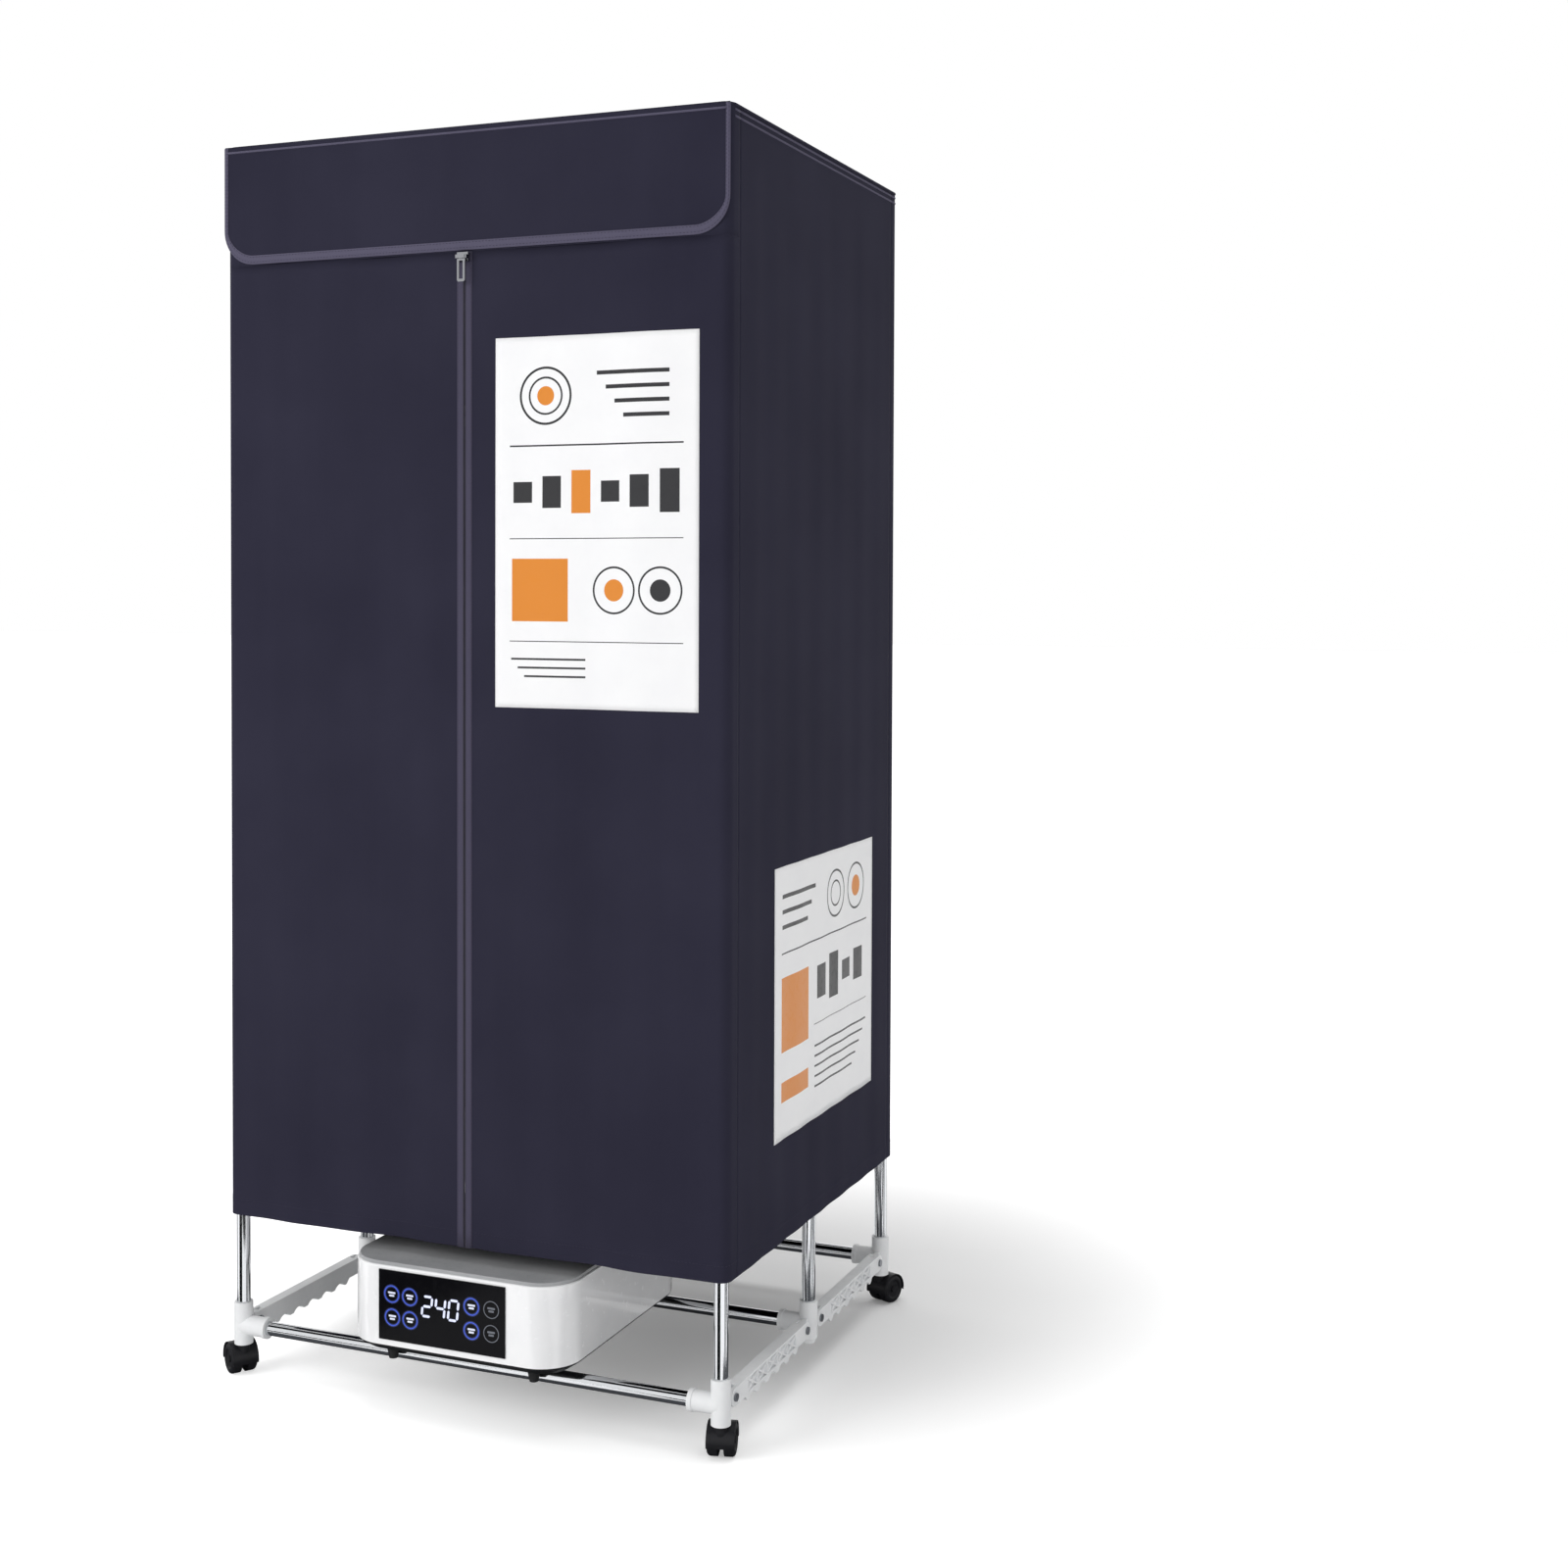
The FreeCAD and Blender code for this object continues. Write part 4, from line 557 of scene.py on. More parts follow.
def sweep(name, line, profile, material, soft=True):
    """A closed profile of (across, out) pairs swept along a line of (point, across, out), with ends."""
    points, measures, along = [], [], 0.0
    for k, (spot, across, out) in enumerate(line):
        if k:
            along += (spot - line[k - 1][0]).length
        for n, (a, o) in enumerate(profile):
            points.append(spot + across * a + out * o)
            measures.append((along, n * 0.001))
    size = len(profile)
    faces = [(k * size + n, (k + 1) * size + n, (k + 1) * size + (n + 1) % size, k * size + (n + 1) % size)
             for k in range(len(line) - 1) for n in range(size)]
    faces += [tuple(range(size)), tuple((len(line) - 1) * size + n for n in reversed(range(size)))]
    return new_piece(name, points, faces, measures, material, soft)


def ring_profile(radius, count=10):
    """A round profile."""
    return [(radius * math.cos(math.tau * k / count), radius * math.sin(math.tau * k / count))
            for k in range(count)]


def sew(name, line, material, stitch, pitch, width=0.0007, rise=0.00035):
    """A row of stitches along a line of (point, out) pairs, each stitch a small pointed bead of thread."""
    points, faces, measures = [], [], []
    due, along = pitch / 2, 0.0
    for (start, out), (end, _) in zip(line, line[1:]):
        run = end - start
        if run.length < 1e-7:
            continue
        ahead = run.normalized()
        side = ahead.cross(out).normalized()
        while due <= along + run.length:
            centre = start + ahead * (due - along)
            first = len(points)
            points += [centre - ahead * stitch / 2, centre + side * width / 2, centre + ahead * stitch / 2,
                       centre - side * width / 2, centre + out * rise, centre - out * rise]
            measures += [(due, 0.0)] * 6
            for k in range(4):
                faces += [(first + k, first + (k + 1) % 4, first + 4),
                          (first + (k + 1) % 4, first + k, first + 5)]
            due += pitch
        along += run.length
    return new_piece(name, points, faces, measures, material)


def cloth():
    """The cover's settings."""
    return bpy.context.scene.drycab_cloth


# ------------------------------------------------------------------ shared forms of the cover

def hem_seam():
    """Height of the stitches that hold the hem."""
    return HEM_Z + cloth().hem_width - STITCH_DROP


def hem_relief(z):
    """The turned-up hem stands out a little."""
    return cloth().hem_step * (1 - smooth((z - HEM_Z - cloth().hem_width + 0.001) / 0.002))


def front_relief(x, y, z):
    """Hanging folds of a front half; nothing at the zip, the hinge line and the sewn corner."""
    inward = (abs(x) - ZIP_FLAT) / (HINGE_X - ZIP_FLAT)
    if inward <= 0:
        return 0.0
    hem = hem_relief(z) * smooth(inward * 12) * smooth((COVER_X - abs(x)) / 0.012 + 0.4)
    if inward >= 1:
        return hem
    height = (z - HEM_Z) / (DOOR_TOP - HEM_Z)
    held = smooth(inward / 0.2) * smooth((1 - inward) / 0.25)
    lean = inward + 0.05 * math.sin(2.2 * height + (1.1 if x > 0 else 2.6))
    folds = (math.sin(math.tau * 1.35 * lean + (0.6 if x > 0 else 2.1))
             + 0.5 * math.sin(math.tau * 2.9 * lean + 4.0 * x))
    rumple = noise.noise(Vector((x * 7.0, z * 2.6, 3.0)))
    return hem + cloth().fold_depth * held * (folds * (0.95 - 0.55 * height) + 0.7 * rumple)


def rear_relief(x, y, z):
    """Slightly deeper folds in the rear, which nothing stretches."""
    if y < COVER_BACK - 0.0005:
        return hem_relief(z)
    inward = (COVER_X - COVER_CORNER - abs(x)) / 0.08
    height = (z - HEM_Z) / (WALL_TOP - HEM_Z)
    folds = (math.sin(math.tau * 3.2 * x + 0.7 + 0.5 * math.sin(3 * height))
             + 0.4 * math.sin(math.tau * 7.4 * x + 2.0))
    rumple = noise.noise(Vector((x * 6.0, z * 2.4, 9.0)))
    held = smooth(inward) * smooth((1 - height) * 6)
    return hem_relief(z) + cloth().fold_depth * held * (folds * (1.1 - 0.6 * height) + 0.8 * rumple)


def side_relief(x, y, z):
    """Crease lines where a side folds up between the frames: they only stand outward."""
    share = (y - SIDE_FRONT) / (SIDE_BACK - SIDE_FRONT)
    height = (z - HEM_Z) / (WALL_TOP - HEM_Z)
    held = smooth(share / 0.12) * smooth((1 - share) / 0.12) * smooth((1 - height) * 9)
    wave = 0.5 - 0.5 * math.cos(math.tau * 7 * share)
    rumple = 0.5 + 0.5 * noise.noise(Vector((y * 8.0, z * 2.6, 21.0 + x)))
    return hem_relief(z) + cloth().pleat_depth * held * (wave * (1.15 - 0.5 * height) + 0.5 * rumple)


def flap_relief(x, z):
    """The flap hangs from its top seam and stands a little away from the doors at its lower edge."""
    drop = (COVER_TOP - z) / (COVER_TOP - low("front_flap").z)
    rumple = noise.noise(Vector((x * 6.0, z * 5.0, 5.0)))
    waves = 0.35 + 0.3 * math.sin(math.tau * 1.7 * x + 0.9) + 0.25 * rumple
    return 0.0022 * smooth(drop) * max(0.1, waves)


def front_corners(front=COVER_FRONT):
    """The cover's plan from the left seam round the front to the right seam."""
    return [(-COVER_X, SIDE_FRONT), (-COVER_X, front), (COVER_X, front), (COVER_X, SIDE_FRONT)]


def rear_corners():
    """The cover's plan from the right seam round the rear to the left seam."""
    return [(COVER_X, SIDE_BACK), (COVER_X, COVER_BACK), (-COVER_X, COVER_BACK), (-COVER_X, SIDE_BACK)]


def cover_material():
    """The dyed cover cloth."""
    # At 0.8 the cloth's soft vertical bands are partly uneven dye and partly painted shading and sheen.
    return cloth_material("cover_cloth", cloth().face, cloth().fleck, cloth().thread, unevenness_and_shade=0.8)


def thread_material():
    """Sewing thread, a little lighter than the cloth."""
    return cloth_material("sewing_thread", cloth().fleck, cloth().binding, thread=0.0004, unevenness_and_shade=0.2)


def binding_material():
    """Woven tape of the flap's edge and the top seams."""
    return cloth_material("edge_binding", cloth().binding, scaled(cloth().binding, 1.25),
                          TAPE_THREAD, unevenness_and_shade=0.3, sheen=0.05)


def sewn(name, line):
    """A row of stitches in the cover's thread."""
    return sew(name, line, thread_material(), cloth().stitch, cloth().stitch_pitch)


def fold_up(piece):
    """A piece that rides on the front frame, with its own copy of its mesh."""
    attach(piece, "front_frame")
    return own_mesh(piece)


# ------------------------------------------------------------------ operators

class DRYCAB_OT_frame(Operator):
    """Chrome for the tubes, white plastic for the connectors and arms, steel for the screws"""
    bl_idname = "drycab.frame"
    bl_label = "Frame finishes"

    def execute(self, context):
        look = context.scene.drycab_frame
        dress(("front_posts", "middle_posts", "rear_posts", "front_bottom_tube", "middle_bottom_tube",
               "rear_bottom_tube", "front_top_tube", "rear_top_tube", "hanging_rod"),
              metal_material("tube_steel", look.tube, look.tube_haze, dullness=0.08))
        dress(("front_foot_connectors", "middle_foot_connectors", "rear_foot_connectors",
               "hanging_rod_connectors", "front_top_elbows", "rear_top_elbows", "front_arm_brackets",
               "rear_arm_brackets"),
              plastic_material("white_moulding", look.moulding, look.moulding_shade, gloss=0.36))
        dress(("lower_front_arms", "upper_front_arms", "lower_rear_arms", "upper_rear_arms"),
              plastic_material("arm_moulding", look.moulding, look.moulding_shade, gloss=0.42, grain=600.0))
        dress(("front_pivot_screws", "middle_pivot_screws", "rear_pivot_screws"),
              metal_material("screw_steel", look.screw, haze=0.3, dullness=0.5))
        return {"FINISHED"}


class DRYCAB_OT_casters(Operator):
    """Black plastic for the caster hoods and wheels"""
    bl_idname = "drycab.casters"
    bl_label = "Casters"

    def execute(self, context):
        black = context.scene.drycab_frame.caster
        worn = scaled(black, 2.2)
        hood = plastic_material("caster_hood", black, worn, gloss=0.34, grain=700.0, specular=0.25)
        wheel = plastic_material("caster_wheel", black, worn, gloss=0.46, grain=500.0, depth=0.00008,
                                 specular=0.25)
        for corner in ("front_left", "front_right", "rear_left", "rear_right"):
            dress(("caster_hood_" + corner,), hood)
            dress(("caster_wheels_" + corner,), wheel)
        return {"FINISHED"}


class DRYCAB_OT_front_cloth(Operator):
    """The two zipped front halves with the sewn corners they hang from"""
    bl_idname = "drycab.front_cloth"
    bl_label = "Front halves"

    def execute(self, context):
        heights = wall_heights(HEM_Z, SEAM_Z, cloth().hem_width)
        for side, sign in SIDES:
            corners = [(ZIP_EDGE, COVER_FRONT), (COVER_X, COVER_FRONT), (COVER_X, SIDE_FRONT)]
            if sign < 0:
                corners = [(-x, y) for x, y in reversed(corners)]
            path = wall_path(corners, COVER_CORNER, 0.003, ZIP_EDGE if sign > 0 else -FRONT_MEASURE)
            piece = hang_cloth("front_cloth_" + side, path, heights, front_relief,
                               cover_material(), cloth().thickness)
            line = [(Vector((x + nx * 0.001, y + ny * 0.001, hem_seam()))
                     + Vector((nx, ny, 0)) * (front_relief(x, y, HEM_Z + 0.01) - 0.001),
                     Vector((nx, ny, 0)))
                    for x, y, nx, ny, _ in path if abs(x) > ZIP_FLAT]
            stitches = sewn("front_hem_stitches_" + side, line)
            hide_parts("cover_front_" + side, "front_corners")
            for part in (piece, stitches):
                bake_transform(part)
        return {"FINISHED"}


class DRYCAB_OT_header(Operator):
    """The fixed band behind the flap, with its returns along the sides"""
    bl_idname = "drycab.header"
    bl_label = "Header"

    def execute(self, context):
        path = wall_path(front_corners(), COVER_CORNER, 0.006, -FRONT_MEASURE)
        piece = hang_cloth("header_cloth", path, steps(SEAM_Z, WALL_TOP, 0.012), lambda x, y, z: 0.0,
                           cover_material(), cloth().thickness)
        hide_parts("cover_header")
        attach(piece, "front_frame")
        return {"FINISHED"}


class DRYCAB_OT_side_cloth(Operator):
    """The two side walls, riding on the front frame"""
    bl_idname = "drycab.side_cloth"
    bl_label = "Side walls"

    def execute(self, context):
        heights = wall_heights(HEM_Z, WALL_TOP, cloth().hem_width)
        for side, sign in SIDES:
            corners = [(sign * COVER_X, SIDE_FRONT - SIDE_LAP), (sign * COVER_X, SIDE_BACK + SIDE_LAP)]
            start = FRONT_MEASURE if sign > 0 else SIDE_FRONT - SIDE_BACK - FRONT_MEASURE
            path = wall_path(corners if sign > 0 else corners[::-1], COVER_CORNER, 0.005, start)
            piece = hang_cloth("side_cloth_" + side, path, heights, side_relief,
                               cover_material(), cloth().thickness)
            z = hem_seam()
            line = [(Vector((x + nx * side_relief(x, y, z), y, z)), Vector((nx, 0, 0)))
                    for x, y, nx, _, _ in path]
            stitches = sewn("side_hem_stitches_" + side, line)
            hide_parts("cover_side_" + side)
            for part in (piece, stitches):
                fold_up(part)
        return {"FINISHED"}


class DRYCAB_OT_rear_cloth(Operator):
    """The rear wall with its sewn corners"""
    bl_idname = "drycab.rear_cloth"
    bl_label = "Rear wall"

    def execute(self, context):
        path = wall_path(rear_corners(), COVER_CORNER, 0.005, FRONT_MEASURE + SIDE_BACK - SIDE_FRONT)
        heights = wall_heights(HEM_Z, WALL_TOP, cloth().hem_width)
        piece = hang_cloth("rear_cloth", path, heights, rear_relief, cover_material(), cloth().thickness)
        z = hem_seam()
        line = [(Vector((x, y, z)) + Vector((nx, ny, 0)) * rear_relief(x, y, z), Vector((nx, ny, 0)))
                for x, y, nx, ny, _ in path]
        stitches = sewn("rear_hem_stitches", line)
        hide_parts("cover_rear")
        for part in (piece, stitches):
            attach(part, "rear_frame")
        return {"FINISHED"}


class DRYCAB_OT_top_cloth(Operator):
    """The top of the cover, slightly slack between the frames, with its edge piping"""
    bl_idname = "drycab.top_cloth"
    bl_label = "Top and piping"

    def execute(self, context):
        self.make_top()
        dark = cover_material()
        light = binding_material()
        radius = cloth().piping
        for label, drop in PIPING_LEVELS.items():
            whole = label == "edge_piping"
            self.make_run(label, COVER_TOP - drop, radius if whole else radius * 0.8,
                          dark if whole else light, "cover_cloth" if whole else "edge_binding", whole)
        return {"FINISHED"}

    def spread(self, start, end):
        """Places along one direction, closer together at the corners."""
        near = COVER_CORNER
        return (steps(start, start + near, 0.003) + steps(start + near, end - near, 0.01)[1:-1]
                + steps(end - near, end, 0.003))

    def inside_corner(self, x, y):
        """A place on the top, drawn in to the cover's rounded corners."""
        centre = Vector((math.copysign(COVER_X - COVER_CORNER, x),
                         math.copysign(COVER_BACK - COVER_CORNER, y)))
        away = Vector((x, y)) - centre
        if away.x * x > 0 and away.y * y > 0 and away.length > COVER_CORNER:
            return tuple(centre + away.normalized() * COVER_CORNER)
        return x, y

    def make_top(self):
        """The sheet itself: tight at its edges, hanging in the middle."""
        across, along = [self.spread(-e, e) for e in (COVER_X, COVER_BACK)]
        points, measures = [], []
        for x, y in (self.inside_corner(x, y) for y in along for x in across):
            edge = min(COVER_X - abs(x), y - COVER_FRONT, COVER_BACK - y)
            middle = smooth((COVER_X - abs(x)) / 0.16) * smooth((COVER_BACK - abs(y) - 0.012) / 0.2)
            rumple = 0.25 * noise.noise(Vector((x * 9.0, y * 9.0, 31.0)))
            drop = cloth().top_sag * middle * (1 + rumple) + 0.0006 * (1 - smooth(edge / 0.008))
            points.append((x, y, COVER_TOP - drop))
            measures.append((x, y))
        piece = new_piece("top_cloth", points, grid_faces(len(across), len(along)),
                          measures, cover_material())
        thicken(piece, cloth().thickness)
        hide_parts("cover_top")
        fold_up(piece)

    def make_run(self, label, z, radius, material, slot, whole):
        """One line of piping: on the front frame at the front and along the sides, on the rear frame at the
        rear.
        """
        sink = 0.4 * radius

        def run(name, corners):
            line = [(Vector((x - nx * sink, y - ny * sink, z)), UP, Vector((nx, ny, 0)))
                    for x, y, nx, ny, _ in wall_path(corners, COVER_CORNER, 0.012)]
            piece = sweep(name, line, ring_profile(radius), material)
            return piece

        front = COVER_FRONT + (0.0022 if whole else 0.0)
        if whole:
            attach(run(label + "_front", front_corners(front)), "front_frame")
        else:
            for side, sign in SIDES:
                corners = [(sign * COVER_X, COVER_FRONT + COVER_CORNER), (sign * COVER_X, SIDE_FRONT)]
                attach(run(f"{label}_front_{side}", corners[::sign]), "front_frame")
        for side, sign in SIDES:
            corners = [(sign * COVER_X, SIDE_FRONT), (sign * COVER_X, SIDE_BACK)]
            fold_up(run(f"{label}_{side}", corners[::sign]))
        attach(run(label + "_rear", rear_corners()), "rear_frame")


class DRYCAB_OT_flap(Operator):
    """The front flap with its bound edge"""
    bl_idname = "drycab.flap"
    bl_label = "Front flap"

    corner = 0.040          # radius of the lower corners
    side_width = 0.005      # of the bound edge at the sides
    lower_width = 0.010     # and along the bottom
    seam_shares = {"outer": 0.22, "inner": 0.8}
    seam_rise = 0.00085
    piping_drop = 0.0062

    def outline(self, spacing=0.006):
        """The flap's bound edge, top left down, along and up to the top right: x, z, inward direction."""
        bottom, half, top = low("front_flap").z, high("front_flap").x, COVER_TOP - 0.001
        r = self.corner
        edge = [(-half, z, 1.0, 0.0) for z in steps(top, bottom + r, spacing)]
        for share in steps(0.0, 1.0, 0.08)[1:]:
            angle = share * math.pi / 2
            edge.append((-half + r - r * math.cos(angle), bottom + r - r * math.sin(angle),
                         math.cos(angle), math.sin(angle)))
        right = [(-x, z, -a, b) for x, z, a, b in reversed(edge)]
        return edge + [(x, bottom, 0.0, 1.0) for x in steps(-half + r, half - r, spacing)[1:-1]] + right

    def execute(self, context):
        bottom, half, r = low("front_flap").z, high("front_flap").x, self.corner
        face = low("front_flap").y
        points, measures = [], []
        rows = steps(bottom, bottom + r, 0.0015) + steps(bottom + r, COVER_TOP + 0.0002, 0.008)[1:]
        shares = steps(-1.0, 1.0, 0.016)
        for z in rows:
            inset = r - math.sqrt(max(0.0, r * r - (bottom + r - z) ** 2)) if z < bottom + r else 0.0
            for share in shares:
                x = share * (half - inset - 0.0004)
                points.append((x, face - flap_relief(x, z), z))
                measures.append((x, z))
        piece = new_piece("flap_cloth", points, grid_faces(len(shares), len(rows)),
                          measures, cover_material())
        thicken(piece, cloth().thickness)
        line, seams = [], {name: [] for name in self.seam_shares}
        for x, z, inward, up in self.outline():
            width = self.side_width + (self.lower_width - self.side_width) * smooth(up)
            into = Vector((inward, 0, up))
            spot = Vector((x, face - flap_relief(x, z), z))
            line.append((spot, into * width, FORWARD))
            for name, share in self.seam_shares.items():
                seams[name].append((spot + into * width * share + Vector((0, -self.seam_rise, 0)), FORWARD))
        profile = [(0.97, -0.0001), (0.99, 0.0003), (0.93, 0.0007), (0.8, 0.0007), (0.7, 0.00095),
                   (0.45, 0.00105), (0.3, 0.00095), (0.22, 0.0007), (0.1, 0.0008), (0.0, 0.0006),
                   (-0.05, 0.0), (-0.04, -0.0006), (0.02, -0.0009), (0.5, -0.0010), (0.97, -0.00095)]
        binding = sweep("flap_binding_tape", line, profile, binding_material())
        stitches = [sewn("flap_stitches_" + name, seam) for name, seam in seams.items()]
        level = COVER_TOP - self.piping_drop
        top_line = [(Vector((x, face - flap_relief(x, level) + 0.0003, level)), UP, FORWARD)
                    for x in steps(-half + 0.001, half - 0.001, 0.012)]
        top_piping = sweep("flap_top_piping", top_line, ring_profile(cloth().piping * 0.75),
                           binding_material())
        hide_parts("front_flap")
        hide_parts("flap_binding")
        for part in (piece, binding, top_piping, *stitches):
            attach(part, "flap")
        return {"FINISHED"}


class DRYCAB_OT_zip(Operator):
    """Zip tapes with their teeth, and metal for the slider and puller"""
    bl_idname = "drycab.zip"
    bl_label = "Zip"

    def execute(self, context):
        tape_cloth = cloth_material("zip_tape", cloth().tape, cloth().binding, TAPE_THREAD, unevenness_and_shade=0.3,
                                    sheen=0.05)
        teeth_plastic = plastic_material("zip_teeth", linear(0x2A2833), linear(0x3A3846), gloss=0.35)
        width = high("zip_tape_right").x - low("zip_tape_right").x
        lift = COVER_FRONT - low("zip_tape_right").y
        profile = [(-0.5, 0.0), (-0.49, lift * 0.6), (-0.42, lift * 0.85), (-0.2, lift),
                   (0.1, lift * 1.08), (0.34, lift), (0.45, lift * 0.8), (0.5, 0.0)]
        for side, sign in SIDES:
            middle = sign * (ZIP_EDGE + width / 2)
            heights = steps(HEM_Z - 0.0005, DOOR_TOP, 0.02)
            line = [(Vector((middle, COVER_FRONT, z)), Vector((-sign * width, 0, 0)), FORWARD)
                    for z in heights]
            tape = sweep("zip_tape_cloth_" + side, line, profile[::sign], tape_cloth)
            seam = [(Vector((middle + sign * width * 0.36, COVER_FRONT - lift, z)), FORWARD)
                    for z in heights]
            stitches = sewn("zip_stitches_" + side, seam)
            teeth = self.make_teeth("zip_teeth_" + side, sign, teeth_plastic)
            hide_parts("zip_tape_" + side)
            for part, slot in ((tape, "zip_tape"), (stitches, "zip_tape"), (teeth, "zip_tape")):
                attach(part, "front_half_" + side)
        dress(("zip_slider", "zip_puller"),
              metal_material("zip_metal", linear(0x9A9B9F), haze=0.16, dullness=0.4))
        return {"FINISHED"}

    def make_teeth(self, name, sign, material):
        """A column of small rounded teeth."""
        points, faces, measures = [], [], []
        pitch, tall, reach, gap, end_gap = 0.0020, 0.0012, 0.0019, 0.0001, 0.006
        count = int((DOOR_TOP - HEM_Z - 2 * end_gap) / pitch)
        for k in range(count):
            z = HEM_Z + end_gap + pitch * (k + (0.5 if sign < 0 else 0.0))
            first = len(points)
            for depth, half, near, far in ((0.0, tall / 2, gap, reach), (-0.0009, tall / 2, gap, reach),
                                           (-0.0013, tall / 4, gap + 0.0003, reach - 0.0003)):
                points += [Vector((sign * u, COVER_FRONT + depth, z + v))
                           for u, v in ((near, -half), (far, -half), (far, half), (near, half))]
            measures += [(0.0, z)] * 12
            for ring in (0, 4):
                faces += [(first + ring + n, first + ring + (n + 1) % 4,
                           first + ring + 4 + (n + 1) % 4, first + ring + 4 + n)[::sign]
                          for n in range(4)]
            faces.append(tuple(first + 8 + n for n in range(4))[::sign])
        return new_piece(name, points, faces, measures, material, False)


class DRYCAB_OT_panels(Operator):
    """The two white panels with a plain print of bars and rings"""
    bl_idname = "drycab.panels"
    bl_label = "White panels"

    mark_sizes = {"bar": ("Half_Width", "Half_Height"), "ring": ("Radius", "Stroke")}

    def execute(self, context):
        front_low, front_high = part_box("front_label")
        path = [(x, COVER_FRONT, 0.0, -1.0, x - front_low.x)
                for x in steps(front_low.x, front_high.x, 0.006)]
        front = self.make_panel("front_panel", path, (front_low.z, front_high.z),
                                front_relief, self.front_print())
        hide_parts("front_label")
        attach(front, "front_half_right")
        side_low, side_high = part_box("side_label")
        path = [(COVER_X, y, 1.0, 0.0, y - side_low.y) for y in steps(side_low.y, side_high.y, 0.006)]
        side = self.make_panel("side_panel", path, (side_low.z, side_high.z),
                               side_relief, self.side_print())
        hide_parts("side_label")
        fold_up(side)
        return {"FINISHED"}

    def make_panel(self, name, path, reach, relief, material):
        """A thin panel that lies on the cloth."""
        lift = 0.0005
        piece = hang_cloth(name, path, steps(*reach, 0.008), lambda x, y, z: relief(x, y, z) + lift,
                           material, lift - 0.0001)
        for loop in piece.data.loops:
            piece.data.uv_layers["cloth"].data[loop.index].uv.y -= reach[0]
        return piece

    def print_material(self, name, ink, accent):
        """Paper with dark and coloured marks: each mark is ("bar" or "ring", four sizes in metres)."""
        look = bpy.context.scene.drycab_print
        material, tree, shader = new_material(name, Coat_Weight=0.15, Coat_Roughness=0.25)
        place = add_node(tree, "ShaderNodeUVMap", uv_map="cloth").outputs[0]
        object_place = add_node(tree, "ShaderNodeTexCoord").outputs["Object"]
        base = use_group(tree, "Moulded plastic", Place=object_place, Colour=rgba(look.paper),
                         Shade=rgba(linear(0xEFEFF1)), Gloss=0.42, Grain=1100.0)

        def marks(found):
            total = None
            for kind, across, up, *pair in found:
                sizes = dict(zip(self.mark_sizes[kind], pair))
                mask = use_group(tree, "Printed " + kind, Place=place,
                                 Across=across, Up=up, **sizes).outputs[0]
                total = mask if total is None else calc(tree, "MAXIMUM", total, mask)
            return total

        shown = mix_colour(tree, marks(ink), base.outputs["Colour"], rgba(look.ink))
        shown = mix_colour(tree, marks(accent), shown, rgba(look.accent))
        wear(tree, shader, base, depth=0.00003)
        tree.links.new(shown, shader.inputs["Base Color"])
        return material

    def front_print(self):
        """Front panel: rings and bars in bands."""
        ink = [("bar", 0.1235, 0.2885, 0.1055, 0.0009), ("bar", 0.1235, 0.1865, 0.1055, 0.0005),
               ("bar", 0.1235, 0.0735, 0.1055, 0.0005),
               ("ring", 0.062, 0.343, 0.032, 0.0026), ("ring", 0.062, 0.343, 0.021, 0.0022)]
        ink += [("bar", 0.1235 + 0.011 * k / 2 + 0.045, 0.366 - 0.0155 * k, 0.044 - 0.0055 * k, 0.0022)
                for k in range(4)]
        ink += [("bar", 0.034 + 0.0358 * k, 0.2375, 0.0115, 0.0115 + 0.006 * (k % 3))
                for k in (0, 1, 3, 4, 5)]
        ink += [("ring", 0.146, 0.13, 0.026, 0.0022), ("ring", 0.202, 0.13, 0.026, 0.0022),
                ("ring", 0.202, 0.13, 0.012, 0.012)]
        ink += [("bar", 0.0655 + 0.004 * k, 0.054 - 0.0095 * k, 0.0455 - 0.004 * k, 0.0011)
                for k in range(3)]
        accent = [("ring", 0.062, 0.343, 0.0105, 0.0105), ("bar", 0.1056, 0.2375, 0.0115, 0.0235),
                  ("bar", 0.0555, 0.13, 0.0345, 0.0345), ("ring", 0.146, 0.13, 0.012, 0.012)]
        return self.print_material("front_panel_print", ink, accent)

    def side_print(self):
        """Side panel: the same family of marks, laid out in columns."""
        ink = [("bar", 0.164, 0.2115, 0.142, 0.0009), ("bar", 0.215, 0.112, 0.0905, 0.0005),
               ("ring", 0.266, 0.258, 0.029, 0.0026), ("ring", 0.196, 0.258, 0.029, 0.0026),
               ("ring", 0.196, 0.258, 0.016, 0.0022)]
        ink += [("bar", 0.076 - 0.006 * k, 0.2765 - 0.0175 * k, 0.052 - 0.006 * k, 0.0024)
                for k in range(3)]
        ink += [("bar", 0.148 + 0.042 * k, 0.1605, 0.0145, 0.012 + 0.0075 * ((k + 1) % 3))
                for k in range(4)]
        ink += [("bar", 0.215 - 0.006 * k, 0.086 - 0.012 * k, 0.0885 - 0.006 * k, 0.0012) for k in range(5)]
        accent = [("ring", 0.266, 0.258, 0.013, 0.013), ("bar", 0.0645, 0.1415, 0.0425, 0.0425),
                  ("bar", 0.0645, 0.0535, 0.0425, 0.0115)]
        return self.print_material("side_panel_print", ink, accent)


